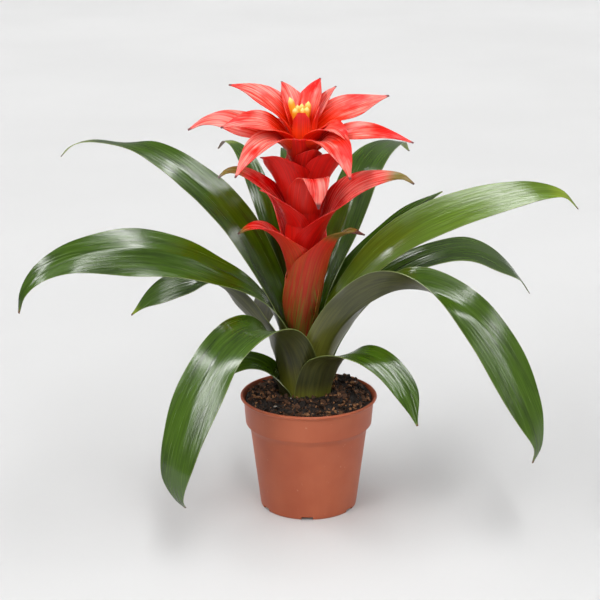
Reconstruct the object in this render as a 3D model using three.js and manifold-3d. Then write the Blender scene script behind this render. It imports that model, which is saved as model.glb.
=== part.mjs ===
// A bromeliad with a red flower spike, potted in a plain 12 cm grower pot.
//
// Millimetres, +Z up, +X to the right and +Y to the back as the plant is looked at from the front.
// The origin is the middle of the pot's underside. Every leaf and every bract is one curved plate,
// swept along a spine that lies in an upright plane through the axis of the plant.

import * as THREE from 'three';
import { mergeVertices } from 'three/addons/utils/BufferGeometryUtils.js';
import Module from 'manifold-3d';

const wasm = await Module();
wasm.setup();

// ---------------------------------------------------------------- driving dimensions

const GAP = 0.3;                 // clearance between two pieces that touch on the real plant

const POT = {
  height: 102,
  footRadius: 42.4,
  footCorner: 1.2,
  bodyTopRadius: 51.3,
  bodyTopHeight: 72,
  collarFootRadius: 55.4,
  collarFootHeight: 77.5,
  collarTopRadius: 57,
  collarTopHeight: 97.2,
  mouthRadius: 57.9,
  lipRadius: 60,
  lipThick: 2.6,
  wall: 1.5,
  floor: 1.8,
  sides: 36,
};
const NOTCH = { count: 6, width: 10, height: 2.6, depth: 6, turn: -92 };

const PLANT = { x: -4, y: 5 };   // where the axis of the plant stands in the pot
const HEAD = { x: -6, y: 5 };    // the flower head leans a little to the left of it

const CROWN = { foot: 92.3, top: 130, topRadius: 6.2 };
const LAYER = { radius: 22.4, pitch: 1.9, foot: 95, rise: 4.4 };   // the nested leaf sheaths
const SHEATH_CHORD = 0.965;      // a sheath's flats lie this much nearer the axis than its edges

const SOIL = {
  edge: 99,
  mound: 104.5,
  bottom: 2.1,
  holeRadius: 25.2,
  holeFloor: 92,
  sides: 32,
  rings: 6,
  lump: 1.3,
  rough: 0.06,
};
const LUMPS = [[5, 1], [9, -0.7], [3, 0.45]];   // waves round the pot, and outwards per millimetre
const BANK = { height: 4.5, turn: 0.9, spread: 0.5 };   // soil heaped at the back right, turns in radians
const CHIP = {                   // flat bits of bark: least size and what is drawn on top of it
  count: 24,
  seed: 7,
  radius: [31, 17],
  size: [[5, 5], [3, 3], [1.5, 1.2]],
  tilt: 25,
  proud: 0.2,
  goldenAngle: 137.5,
  strayAngle: 20,
};

const LEAF = { thick: 0.8, edge: 0.65, rows: 13, columns: 6, wave: 0.05, ripples: 2.5 };
const BRACT = { thick: 1.0, edge: 0.7, rows: 6, columns: 4, wave: 0, ripples: 0, swing: [0, 0] };
const RIPPLE_LAG = 0.37;         // the left margin waves this part of a turn after the right one
const CREASE_START = [0.08, 0.3];   // the share of a blade over which its midrib fold sets in
const FUSE_TOLERANCE = 0.3;       // the fused pieces are thinned out to within this

const FINISH = {
  pot: { color: 0xb9583c, roughness: 0.55 },
  soil: { color: 0x2c211b, roughness: 0.95 },
  crown: { color: 0x7c8a3c, roughness: 0.6 },
  leaf: { color: 0x3c7328, roughness: 0.35 },
  bract: { color: 0xc81e16, roughness: 0.4 },
  floret: { color: 0xf2b53a, roughness: 0.5 },
};

// ---------------------------------------------------------------- the leaves
//
// turn    the way the leaf points, in degrees from +X towards +Y
// layer   its place among the nested sheaths, 0 outermost
// sheath  half the angle that its foot wraps round the crown
// spine   [reach from the axis, height], after the foot
// width   half widths at even steps from the foot to the tip, the foot's own left out
// cup     half angle of the round channel, fold the slope of the two halves at the midrib,
//         and roll the tilt about the spine, all in degrees at even steps

const LEAVES = [
  {
    turn: 200, layer: 0, sheath: 47, columns: 4,
    spine: [[23, 108], [28, 119], [36, 128], [46, 134], [57, 136], [71, 131], [84, 119]],
    width: [16, 12, 10, 7.5, 0.8],
    cup: [0, 30, 20, 10, 0], fold: [0, 10, 10, 5], roll: [0, -25, -40, -35],
  },
  {
    turn: 318, layer: 0, sheath: 59,
    spine: [[24, 113], [33, 137], [52, 149], [75, 152], [96, 145], [115, 129], [127, 102]],
    width: [22, 18, 15, 13, 10, 0.8],
    cup: [0, 15, 20, 5, 0], fold: [0, 0, -5, -5, 0], roll: [0, -10, 10, 30, 30],
    swing: [-13, -10, -3, 0, 0, 0],
  },
  {
    turn: 75, layer: 0, sheath: 50, columns: 4,
    spine: [[24, 113], [33, 132], [50, 144], [75, 144], [98, 130], [112, 108]],
    width: [19, 17, 15, 14, 10, 0.8],
    cup: [0, 30, 15, 5, 0], fold: [0, 10, 8, 4, 0],
  },
  {
    turn: 228, layer: 1, sheath: 62,
    spine: [
      [21.6, 120], [28, 146], [40, 164], [56, 173], [76, 174], [93, 168], [109, 158], [123, 144],
      [137, 126], [148, 106], [156, 86], [160, 66], [155, 48], [148, 39],
    ],
    width: [23, 23, 22, 22, 23, 20, 15, 0.8],
    cup: [0, 50, 15, 5, 0, 0], fold: [0, 0, 0, -5, -5, 0], roll: [0, 3, -10, -12, -8, -5],
    swing: [24, 14, 3, 0, 0, 0, 0, 0],
  },
  {
    turn: 30, layer: 1, sheath: 48, columns: 4,
    spine: [
      [21.6, 118], [28, 142], [44, 166], [70, 188], [99, 201], [124, 208], [152, 211], [178, 208],
      [202, 197], [228, 178], [245, 156],
    ],
    width: [17, 16, 16, 14.5, 17, 20, 14, 0.8],
    cup: [0, 20, 20, 10, 0, 0], fold: [0, 0, -5, -5, 0], roll: [0, 5, 15, 18, 32, 15],
    swing: [8, 4, 0, 0, 0, 0, 0, 0],
  },
  {
    turn: 108, layer: 2, sheath: 48, columns: 4,
    spine: [[19.4, 126], [27, 149], [43, 166], [68, 173], [95, 164], [118, 141], [132, 112]],
    width: [16, 16, 16, 15, 11, 0.8],
    cup: [0, 15, 15, 5, 0], fold: [0, 5, 8, 4, 0],
  },
  {
    turn: 342, layer: 2, sheath: 55,
    spine: [
      [19.6, 126], [28, 152], [43, 175], [63, 193], [84, 204], [105, 205], [127, 199], [146, 188],
      [162, 172], [178, 150], [192, 124], [204, 96], [209, 75], [205, 60],
    ],
    width: [23, 23, 23, 19, 20, 21, 15, 0.8],
    cup: [0, 30, 20, 5, 0, 0], fold: [0, 25, 35, 5, -5, 0], roll: [0, -20, -35, 5, 35, 40, 35, 25],
    swing: [-22, -18, -8, 0, 0, 0, 0, 0],
  },
  {
    turn: 172, layer: 3, sheath: 50, columns: 4,
    spine: [
      [17.4, 128], [22, 146], [31, 160], [42, 171], [53, 183], [64, 193], [77, 200], [90, 201],
      [105, 198], [124, 190], [140, 180], [154, 166],
    ],
    width: [13, 11.5, 10.5, 13.5, 12, 0.8],
    cup: [0, 10, 20, 10, 0], fold: [0, 0, 10, 0, 0],
    roll: [0, 0, 5, 32, 48, 15, -35, -45, -42, -35], swing: [24, 23, 20, 14, 5, 0, 0, 0],
  },
  {
    turn: 192, layer: 4, sheath: 58,
    spine: [
      [16.4, 138], [23, 165], [35, 189], [52, 205], [76, 218], [106, 232], [140, 240], [175, 240],
      [205, 235], [228, 223], [241, 207], [245, 190],
    ],
    width: [14, 12, 14, 20.5, 23.5, 17, 9, 0.8],
    cup: [0, 10, 15, 5, 0, 0], fold: [0, 0, -12, -18, -10, 0], roll: [0, -5, -40, -50, -48, -40],
    swing: [13, 8, 2, 0, 0, 0, 0, 0],
  },
  {
    turn: 42, layer: 4, sheath: 42, columns: 4,
    spine: [[16, 136], [26, 163], [45, 190], [68, 210], [96, 228], [124, 242], [150, 251], [171, 256]],
    width: [15, 15, 13, 11.5, 9.5, 0.8],
    cup: [0, 40, 20, 10, 0], fold: [0, 8, 8, 5, 0],
  },
  {
    turn: 12, layer: 5, sheath: 50,
    spine: [
      [14, 140], [23, 168], [41, 196], [63, 219], [91, 240], [123, 255], [152, 264], [181, 270],
      [211, 273], [234, 269], [248, 255],
    ],
    width: [15, 16, 18, 18, 17.5, 15.5, 10, 0.8],
    cup: [0, 10, 15, 5, 0, 0], fold: [0, 0, 5, 5, 0, 0], roll: [0, 10, 30, 42, 40, 20],
  },
  {
    turn: 152, layer: 5, sheath: 50,
    spine: [
      [13.4, 141], [22, 171], [36, 202], [50, 225], [64, 244], [79, 259], [94, 272], [111, 283],
      [126, 292], [141, 299], [160, 305], [190, 306], [217, 306], [231, 303], [243, 297], [252, 288],
    ],
    width: [14, 16, 17, 18, 18, 15.5, 12, 8.5, 6.5, 0.8],
    cup: [0, 10, 15, 5, 0, 0], fold: [0, 0, 5, 5, 0, 0],
    roll: [0, 0, -5, -15, -24, -30, -30, -25, 4, 0, -10],
  },
  {
    turn: 118, layer: 6, sheath: 28, columns: 4,
    spine: [
      [12, 146], [19, 162], [30, 180], [40, 196], [51, 214], [61, 231], [80, 259], [94, 275],
      [109, 289], [125, 297], [142, 300], [157, 298], [170, 289],
    ],
    width: [8, 11, 11, 11, 11, 9, 5, 0.8],
    cup: [0, 40, 20, 10, 0, 0], fold: [0, 5, 8, 5, 0],
  },
  {
    turn: 60, layer: 6, sheath: 28,
    spine: [
      [12, 146], [22, 176], [50, 211], [69, 232], [85, 254], [101, 274], [121, 289], [149, 296],
      [180, 294], [199, 282],
    ],
    width: [9, 14, 18, 20, 19, 12, 0.8],
    cup: [0, 40, 20, 10, 0, 0], fold: [0, 5, 8, 5, 0],
  },
  {
    turn: 95, layer: 7, sheath: 40, columns: 4,
    spine: [
      [11.5, 152], [21.5, 186], [36, 216], [53, 244], [72, 269], [95, 286], [122, 293], [148, 288],
      [168, 270],
    ],
    width: [6, 9, 13, 15, 13, 9, 0.8],
    cup: [0, 30, 20, 10, 0, 0], fold: [0, 5, 8, 5, 0],
  },
];

// ---------------------------------------------------------------- the bracts, in the same terms

const STEM_BRACTS = [
  {
    turn: 312,
    spine: [[6, 146], [10, 175], [17, 205], [27, 232], [42, 250], [58, 258], [74, 259]],
    width: [12, 26, 31, 26, 14, 8, 0.8],
    cup: [85, 85, 60, 30, 20, 10], fold: [0, 0, 0, 10, 15, 10], roll: [0, 0, 0, 15],
  },
  {
    turn: 213,
    spine: [[6, 165], [11, 195], [18, 225], [30, 247], [45, 257], [58, 258], [66, 255]],
    width: [12, 24, 29, 27, 16, 8, 0.8],
    cup: [85, 85, 60, 30, 20, 10], fold: [0, 0, 0, 10, 15, 10], roll: [0, 0, -10, -20],
  },
  {
    turn: 64,
    spine: [[6, 160], [10, 185], [17, 212], [27, 236], [38, 249], [49, 254]],
    width: [12, 24, 27, 20, 8, 0.8],
    cup: [85, 85, 60, 30, 15], fold: [0, 0, 0, 10, 20], roll: [0, 0],
  },
  {
    turn: 335,
    spine: [[6, 195], [10, 220], [18, 248], [30, 272], [50, 292], [74, 302], [90, 304], [100, 299]],
    width: [11, 24, 28, 26, 19, 12, 6, 0.8],
    cup: [85, 85, 60, 30, 15, 10], fold: [0, 0, 0, 5, 5, 5], roll: [0, 0, 15, 40, 40, 30],
  },
  {
    turn: 132,
    spine: [[6, 190], [10, 216], [18, 242], [30, 262], [44, 272], [58, 274]],
    width: [11, 22, 24, 18, 8, 0.8],
    cup: [85, 85, 60, 30, 15], fold: [0, 0, 0, 10, 20], roll: [0, 0],
  },
  {
    turn: 198,
    spine: [[6, 215], [11, 240], [19, 268], [38, 291], [58, 304], [68, 305], [76, 300]],
    width: [11, 22, 24, 19, 11, 6, 0.8],
    cup: [85, 85, 60, 30, 20, 10], fold: [0, 0, 0, 5, 10, 10], roll: [0, 0, -15, -35, -30],
  },
  {
    turn: 285,
    spine: [[6, 230], [11, 256], [19, 281], [29, 298], [38, 301], [44, 292], [45, 278]],
    width: [11, 22, 25, 22, 15, 9, 0.8],
    cup: [85, 85, 60, 15, 5, 0], fold: [0, 0, 0, 5, 5, 5], roll: [0, 0],
  },
  {
    turn: 62,
    spine: [[6, 225], [11, 250], [18, 272], [26, 287], [35, 296]],
    width: [11, 20, 19, 13, 0.8],
    cup: [85, 85, 60, 30, 15], fold: [0, 0, 0, 10, 20], roll: [0, 0],
  },
  {
    turn: 110,
    spine: [[6, 240], [10, 264], [18, 286], [29, 302], [42, 309]],
    width: [10, 19, 19, 12, 0.8],
    cup: [85, 80, 50, 25, 15], fold: [0, 0, 5, 10, 20], roll: [0, 0],
  },
  {
    turn: 216,
    spine: [[6, 252], [14, 271], [21, 288], [28, 303], [36, 314], [45, 318]],
    width: [10, 20, 21, 19, 14, 0.8],
    cup: [85, 80, 50, 25, 15], fold: [0, 0, 5, 10, 10], roll: [0, 0, 10, 20, 20],
  },
  {
    turn: 318,
    spine: [[6, 256], [13, 276], [19, 293], [26, 307], [34, 317], [42, 319]],
    width: [10, 20, 21, 19, 14, 0.8],
    cup: [85, 80, 50, 25, 15], fold: [0, 0, 5, 10, 10], roll: [0, 0, -10, -20, -20],
  },
  {
    turn: 235,
    spine: [[6, 260], [12, 281], [19, 299], [25, 311], [30, 317]],
    width: [10, 19, 21, 15, 0.8],
    cup: [85, 80, 50, 25, 15], fold: [0, 0, 5, 10, 10], roll: [0, 0],
  },
  {
    turn: 288,
    spine: [[6, 268], [9, 289], [15, 308], [22, 320], [28, 325]],
    width: [10, 18, 20, 14, 0.8],
    cup: [85, 80, 50, 25, 15], fold: [0, 0, 5, 10, 10], roll: [0, 0],
  },
];

// wide is the greatest half width, tilt the greatest roll, and outline the shares of wide where a
// bract isn't pointed like the others
const HEAD_BRACTS = [
  {
    turn: 222, wide: 12.5, tilt: -15,
    spine: [[9, 313], [16, 322], [28, 331], [41, 331], [53, 326], [63, 318], [74, 306]],
  },
  {
    turn: 310, wide: 14.5, tilt: 16,
    spine: [[9, 312], [15, 321], [28, 331], [42, 330], [53, 320], [62, 304]],
  },
  {
    turn: 186, wide: 14, tilt: -48, outline: [0.55, 0.85, 1, 0.8, 0.35, 0.06],
    spine: [[10, 316], [21, 327], [36, 335], [52, 341], [68, 346], [82, 345], [96, 338]],
  },
  {
    turn: 205, wide: 13, tilt: -35,
    spine: [[9, 322], [18, 333], [32, 343], [50, 347], [64, 346], [74, 344]],
  },
  {
    turn: 158, wide: 15, tilt: -20,
    spine: [[8, 328], [14, 342], [29, 357], [45, 366], [57, 369], [67, 370]],
  },
  {
    turn: 116, wide: 12, tilt: 0,
    spine: [[7.5, 330], [13, 346], [22, 360], [32, 368], [40, 371]],
  },
  {
    turn: 100, wide: 11, tilt: 0,
    spine: [[7.5, 328], [14, 342], [25, 354], [37, 361], [46, 364]],
  },
  {
    turn: 66, wide: 12, tilt: 0,
    spine: [[7.5, 331], [12.5, 348], [21, 362], [30, 370], [39, 374]],
  },
  {
    turn: 46, wide: 10, tilt: 0,
    spine: [[8, 328], [14, 343], [24, 356], [34, 364], [42, 368]],
  },
  {
    turn: 18, wide: 15, tilt: 35,
    spine: [[8, 325], [16, 337], [32, 348], [50, 354], [64, 358], [78, 361]],
  },
  {
    turn: 345, wide: 12, tilt: 35, outline: [0.55, 0.95, 1, 0.75, 0.35, 0.06],
    spine: [[10, 316], [22, 326], [40, 334], [60, 337], [79, 335], [96, 330]],
  },
  {
    turn: 322, wide: 14, tilt: 10,
    spine: [[9, 321], [15, 330], [27, 340], [38, 340], [49, 332]],
  },
  {
    turn: 266, wide: 16, tilt: 0, outline: [0.5, 0.85, 1, 1, 0.85, 0.3],
    spine: [[10, 309], [15, 318], [21, 327], [27, 333]],
  },
  {
    turn: 268, wide: 8.4, tilt: 0, outline: [0.6, 0.95, 1, 1, 0.85, 0.4],
    spine: [[10, 326], [12, 334], [13, 342], [13, 349], [12, 353]],
  },
  {
    turn: 350, wide: 8, tilt: 0,
    spine: [[10, 326], [12, 336], [13.5, 347], [15, 357]],
  },
  {
    turn: 95, wide: 15, tilt: 0,
    spine: [[9, 317], [19, 329], [38, 342], [60, 346], [78, 339]],
  },
  {
    turn: 62, wide: 14, tilt: 0,
    spine: [[10, 315], [21, 327], [40, 336], [58, 336], [73, 327]],
  },
  {
    turn: 136, wide: 14, tilt: 0,
    spine: [[10, 315], [21, 326], [40, 335], [58, 333], [73, 322]],
  },
  {
    turn: 28, wide: 13, tilt: 0,
    spine: [[10, 312], [16, 321], [28, 330], [42, 333], [53, 330]],
  },
];
const HEAD_SHAPE = {
  width: [0.55, 0.95, 1, 0.86, 0.45, 0.06],
  cup: [80, 45, 20, 10, 5],
  fold: [0, 5, 8, 8, 10],
  tilt: [0, 0.5, 1, 1, 0.7],
};

const FLORETS = [   // [x, y] from the head's axis, tip height and lean away from it
  { x: -10.5, y: 2, tip: 364, lean: 15 },
  { x: 5.6, y: 3, tip: 360.5, lean: 9 },
  { x: -4, y: 2.5, tip: 357.5, lean: 7 },
  { x: -6, y: -4, tip: 356, lean: 9 },
  { x: 0.6, y: -1, tip: 355.5, lean: 2 },
  { x: 4.5, y: -2, tip: 356.5, lean: 9 },
  { x: 0, y: 5.5, tip: 358, lean: 9 },
];
const FLORET = {                 // outline in shares of [radius, length]
  radius: 3,
  sides: 6,
  sunk: 0.7,
  outline: [[0, 0], [0.6, 0], [1, 0.68], [0.84, 0.86], [0, 1]],
};
const FLORET_SEAT = { radius: 5, foot: 337.3, shoulder: 3, shoulderHeight: 341, top: 342, sides: 12 };
const HEAD_CORE = [[7, 300.3], [10.5, 311], [12.5, 320], [9.5, 331], [6.2, 337]];   // [radius, height]
const STALK = [[7, 130.3], [7, 150], [9.5, 175], [14.5, 205], [13, 222], [17, 247], [14, 262], [15.5, 278],
  [12, 290], [8, 300]];
const CORE_SIDES = 12;
const FLATTEST = 0.01;           // the least bend of half a blade, in radians
const MOST_BEND = 95;            // the most that half a blade wraps round what it grows from, in degrees

// ---------------------------------------------------------------- small helpers

const rad = THREE.MathUtils.degToRad;
const step = THREE.MathUtils.smoothstep;

/** A smooth value between the evenly spaced values of a list, at t from 0 to 1. */
function along(list, t) {
  const x = t * (list.length - 1);
  const i = Math.min(Math.floor(x), list.length - 2);
  const f = x - i;
  const a = list[Math.max(i - 1, 0)];
  const b = list[i];
  const c = list[i + 1];
  const d = list[Math.min(i + 2, list.length - 1)];
  return b + 0.5 * f * (c - a + f * (2 * a - 5 * b + 4 * c - d + f * (3 * (b - c) + d - a)));
}

/** A repeatable random number source. */
function seeded(seed) {
  let state = seed;
  return () => {
    state = (state * 1664525 + 1013904223) % 4294967296;
    return state / 4294967296;
  };
}

/** A closed geometry as a solid that can be joined and cut. */
function solidOf(geometry) {
  const bare = new THREE.BufferGeometry();
  bare.setAttribute('position', geometry.getAttribute('position'));
  bare.setIndex(geometry.getIndex());
  const merged = mergeVertices(bare, 1e-4);
  const triVerts = new Uint32Array(merged.getIndex().array);
  const vertProperties = new Float32Array(merged.getAttribute('position').array);
  return new wasm.Manifold(new wasm.Mesh({ numProp: 3, vertProperties, triVerts }));
}

/** The largest body of a solid: loose scraps are dropped and sealed hollows filled. */
function oneBody(solid) {
  return solid.decompose().reduce((best, piece) => (piece.volume() > best.volume() ? piece : best));
}

/** A named mesh made from a solid. */
function meshOf(name, solid, finish) {
  const { vertProperties, triVerts } = oneBody(solid).getMesh();
  const geometry = new THREE.BufferGeometry();
  geometry.setAttribute('position', new THREE.BufferAttribute(new Float32Array(vertProperties), 3));
  geometry.setIndex(new THREE.BufferAttribute(new Uint32Array(triVerts), 1));
  geometry.computeVertexNormals();
  const material = new THREE.MeshStandardMaterial({ ...finish, metalness: 0 });
  const mesh = new THREE.Mesh(geometry, material);
  mesh.name = name;
  return mesh;
}

/** A solid turned about the axis from [radius, height] points, which start and end on it. */
function turned(profile, sides) {
  const points = profile.map(([r, z]) => new THREE.Vector2(r, z));
  return solidOf(new THREE.LatheGeometry(points, sides).rotateX(Math.PI / 2));
}

// ---------------------------------------------------------------- leaves and bracts

/** Position and frame of a blade's spine at t: T runs to the tip, S sideways, N off its upper side. */
function spineFrame(curve, blade, t) {
  const p = curve.getPointAt(t);
  const T = curve.getTangentAt(t);
  const S = new THREE.Vector3(0, 1, 0);
  S.addScaledVector(T, -S.dot(T)).normalize();
  const N = new THREE.Vector3().crossVectors(T, S);
  const roll = rad(along(blade.roll, t));
  const side = S.clone().multiplyScalar(Math.cos(roll)).addScaledVector(N, Math.sin(roll));
  const up = N.clone().multiplyScalar(Math.cos(roll)).addScaledVector(S, -Math.sin(roll));
  return { p, T, side, up };
}

/** The ring of points round a blade at t, along its upper side and back along its lower one. */
function bladeRing(curve, blade, t, extra) {
  const { p, T, side, up } = spineFrame(curve, blade, t);
  const half = along(blade.width, t) + extra / 2;
  const reach = Math.max(p.x, 1);
  const wrap = Math.max(half * Math.max(T.z, 0) / reach, 0);
  const bend = Math.max(Math.min(wrap, rad(MOST_BEND)), rad(along(blade.cup, t)), FLATTEST);
  const crease = rad(along(blade.fold, t)) * step(t, ...CREASE_START);
  const upper = [];
  const lower = [];
  for (let i = 0; i <= blade.columns; i += 1) {
    const u = 2 * i / blade.columns - 1;
    const a = Math.abs(u);
    const slope = crease + bend * a;
    const across = half * (Math.sin(slope) - Math.sin(crease)) / bend;
    const phase = blade.ripples * t + (u < 0 ? RIPPLE_LAG : 0);
    const ripple = Math.sin(2 * Math.PI * phase) * Math.sin(Math.PI * t);
    const lift = half * (Math.cos(crease) - Math.cos(slope)) / bend + blade.wave * half * a * a * ripple;
    const thick = (blade.thick + (blade.edge - blade.thick) * a + extra) / 2;
    const mid = p.clone().addScaledVector(side, Math.sign(u) * across).addScaledVector(up, lift);
    const normal = up.clone().multiplyScalar(Math.cos(slope));
    normal.addScaledVector(side, -Math.sign(u) * Math.sin(slope));
    if (a === 0) normal.copy(up).divideScalar(Math.cos(crease));
    upper.push(mid.clone().addScaledVector(normal, thick));
    lower.push(mid.clone().addScaledVector(normal, -thick));
  }
  const turn = new THREE.Matrix4().makeRotationZ(rad(blade.turn + along(blade.swing, t)));
  turn.setPosition(blade.axis.x, blade.axis.y, 0);
  return upper.concat(lower.reverse()).map((v) => v.applyMatrix4(turn));
}

/** A blade as a closed solid: rings from foot to tip, split alike on both faces, with closed ends. */
function bladeSolid(blade, extra = 0) {
  const points = blade.spine.map(([reach, height]) => new THREE.Vector3(reach, 0, height));
  const curve = new THREE.CatmullRomCurve3(points, false, 'centripetal');
  curve.arcLengthDivisions = 400;
  const rings = [];
  for (let row = 0; row <= blade.rows; row += 1) {
    const t = row / blade.rows;
    rings.push(bladeRing(curve, blade, t, extra));
  }
  const size = rings[0].length;
  const positions = rings.flat().flatMap((v) => v.toArray());
  const index = [];
  const columns = blade.columns;
  for (let row = 0; row < blade.rows; row += 1) {
    for (let i = 0; i < size; i += 1) {
      const a = row * size + i;
      const b = row * size + (i + 1) % size;
      const under = i > columns && i < size - 1;
      if (under) index.push(a, a + size, b + size, a, b + size, b);
      else index.push(a, a + size, b, b, a + size, b + size);
    }
  }
  for (let i = 0; i < columns; i += 1) {
    const j = size - 1 - i;
    const tip = blade.rows * size;
    index.push(i, i + 1, j, i + 1, j - 1, j);
    index.push(tip + i, tip + j, tip + i + 1, tip + i + 1, tip + j, tip + j - 1);
  }
  const geometry = new THREE.BufferGeometry();
  geometry.setAttribute('position', new THREE.Float32BufferAttribute(positions, 3));
  geometry.setIndex(index);
  return solidOf(geometry);
}

/** A leaf's own numbers with its foot on the crown and what all leaves share. */
function leafBlade(leaf) {
  const radius = LAYER.radius - LAYER.pitch * leaf.layer;
  const foot = [radius, LAYER.foot + LAYER.rise * leaf.layer];
  const width = [radius * rad(leaf.sheath), ...leaf.width];
  const spine = [foot, ...leaf.spine];
  return { ...LEAF, roll: [0, 0], swing: [0, 0], axis: PLANT, ...leaf, spine, width };
}

/** All leaves, each cut clear of those grown before it where their sheaths would touch. */
function leafSolids() {
  const done = [];
  for (const leaf of LEAVES) {
    const blade = leafBlade(leaf);
    let solid = bladeSolid(blade);
    for (const other of done) {
      if (solid.intersect(other.grown).volume() > 0.001) solid = oneBody(solid.subtract(other.grown));
    }
    done.push({ solid, grown: bladeSolid(blade, 2 * GAP) });
  }
  return done.map(({ solid }) => solid);
}

// ---------------------------------------------------------------- the other pieces

/** Radius of the crown at a height: just inside the foot of the sheath that starts there. */
function crownRadius(height) {
  const layer = (height - LAYER.foot) / LAYER.rise;
  return (LAYER.radius - LAYER.pitch * Math.max(layer, 0) - LEAF.thick / 2) * SHEATH_CHORD - GAP;
}

function crownSolid() {
  return turned([
    [0, CROWN.foot],
    [crownRadius(LAYER.foot), CROWN.foot],
    [crownRadius(LAYER.foot), LAYER.foot],
    [CROWN.topRadius, CROWN.top],
    [0, CROWN.top],
  ], POT.sides / 2).translate([PLANT.x, PLANT.y, 0]);
}

/** The stalk or receptacle that bracts grow from. */
function coreSolid(profile, axis) {
  const foot = profile[0][1];
  const top = profile[profile.length - 1][1];
  return turned([[0, foot], ...profile, [0, top]], CORE_SIDES).translate([axis.x, axis.y, 0]);
}

/** Union of all bracts and what they grow from. */
function fused(core, blades) {
  const joined = wasm.Manifold.union([core, ...blades.map((blade) => bladeSolid(blade))]);
  return oneBody(joined).simplify(FUSE_TOLERANCE);
}

function flowerStemSolid() {
  const stalk = coreSolid(STALK, PLANT);
  return fused(stalk, STEM_BRACTS.map((bract) => ({ ...BRACT, axis: PLANT, ...bract })));
}

function headBlade(bract) {
  const width = (bract.outline ?? HEAD_SHAPE.width).map((share) => share * bract.wide);
  const roll = HEAD_SHAPE.tilt.map((share) => share * bract.tilt);
  return { ...BRACT, rows: 5, axis: HEAD, ...HEAD_SHAPE, ...bract, width, roll };
}

function flowerHeadSolid() {
  const core = coreSolid(HEAD_CORE, HEAD);
  return fused(core, HEAD_BRACTS.map(headBlade));
}

function floretsSolid() {
  const seat = turned([
    [0, FLORET_SEAT.foot],
    [FLORET_SEAT.radius, FLORET_SEAT.foot],
    [FLORET_SEAT.shoulder, FLORET_SEAT.shoulderHeight],
    [0, FLORET_SEAT.top],
  ], FLORET_SEAT.sides);
  const buds = FLORETS.map(({ x, y, tip, lean }) => {
    const away = THREE.MathUtils.radToDeg(Math.atan2(y, x));
    const length = tip - FLORET_SEAT.foot - FLORET.sunk;
    const profile = FLORET.outline.map(([share, height]) => [share * FLORET.radius, (height - 1) * length]);
    const bud = turned(profile, FLORET.sides);
    return bud.rotate([0, lean, 0]).rotate([0, 0, away]).translate([x, y, tip]);
  });
  return wasm.Manifold.union([seat, ...buds]).translate([HEAD.x, HEAD.y, 0]);
}

/** Inner radius of the pot at a height up to its mouth, used by the pot and by the soil that fills it. */
function potInside(height) {
  const level = Math.min(height, POT.collarTopHeight);
  const outline = [
    [0, POT.footRadius],
    [POT.bodyTopHeight, POT.bodyTopRadius],
    [POT.collarFootHeight, POT.collarFootRadius],
    [POT.collarTopHeight, POT.collarTopRadius],
  ];
  const above = outline.findIndex(([z]) => z >= level);
  const [z1, r1] = outline[above];
  const [z0, r0] = outline[Math.max(above - 1, 0)];
  const share = z1 > z0 ? (level - z0) / (z1 - z0) : 0;
  return r0 + (r1 - r0) * share - POT.wall;
}

function potSolid() {
  const lip = POT.lipThick / 2;
  const lipCorner = 0.4 * lip;
  const corner = 0.3 * POT.footCorner;
  const outside = [
    [0, 0],
    [POT.footRadius - POT.footCorner, 0],
    [POT.footRadius - corner, corner],
    [POT.footRadius, POT.footCorner],
    [POT.bodyTopRadius, POT.bodyTopHeight],
    [POT.collarFootRadius, POT.collarFootHeight],
    [POT.collarTopRadius, POT.collarTopHeight],
    [POT.lipRadius - lipCorner, POT.height - POT.lipThick],
    [POT.lipRadius, POT.height - lip],
    [POT.lipRadius - lipCorner, POT.height],
  ];
  const inside = [
    [POT.mouthRadius, POT.height],
    [potInside(POT.collarTopHeight), POT.collarTopHeight],
    [potInside(POT.collarFootHeight), POT.collarFootHeight],
    [potInside(POT.bodyTopHeight), POT.bodyTopHeight],
    [potInside(POT.floor), POT.floor],
    [0, POT.floor],
  ];
  let pot = turned([...outside, ...inside], POT.sides);
  const notch = solidOf(new THREE.BoxGeometry(2 * NOTCH.depth, NOTCH.width, 2 * NOTCH.height));
  for (let i = 0; i < NOTCH.count; i += 1) {
    const turn = NOTCH.turn + 360 * i / NOTCH.count;
    pot = pot.subtract(notch.translate([POT.footRadius, 0, 0]).rotate([0, 0, turn]));
  }
  return pot;
}

/** How far out a circle of the soil's top lies, from 0 at the plant's hole to 1 at the pot's wall. */
function soilShare(radius) {
  return (radius - SOIL.holeRadius) / (potInside(SOIL.edge) - GAP - SOIL.holeRadius);
}

/** A point of the soil's top seen from above: its circles run from the plant's hole to the pot. */
function soilPoint(radius, turn) {
  const share = 1 - soilShare(radius);
  return [PLANT.x * share + radius * Math.cos(turn), PLANT.y * share + radius * Math.sin(turn)];
}

/** Height of the soil at a distance and an angle: a mound round the plant, lumpy between the chips. */
function soilHeight(radius, turn) {
  const share = soilShare(radius);
  const level = SOIL.mound + (SOIL.edge - SOIL.mound) * step(share, 0, 0.75);
  const bank = BANK.height * Math.exp(-(((turn - BANK.turn) / BANK.spread) ** 2)) * step(share, 0.2, 1);
  const waves = LUMPS.map(([round, out]) => Math.sin(round * turn + out * radius));
  const lumps = waves.reduce((sum, wave) => sum + wave, 0) / 2;
  return level + bank + SOIL.lump * lumps * Math.sin(Math.PI * Math.min(share + SOIL.rough, 1));
}

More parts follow.
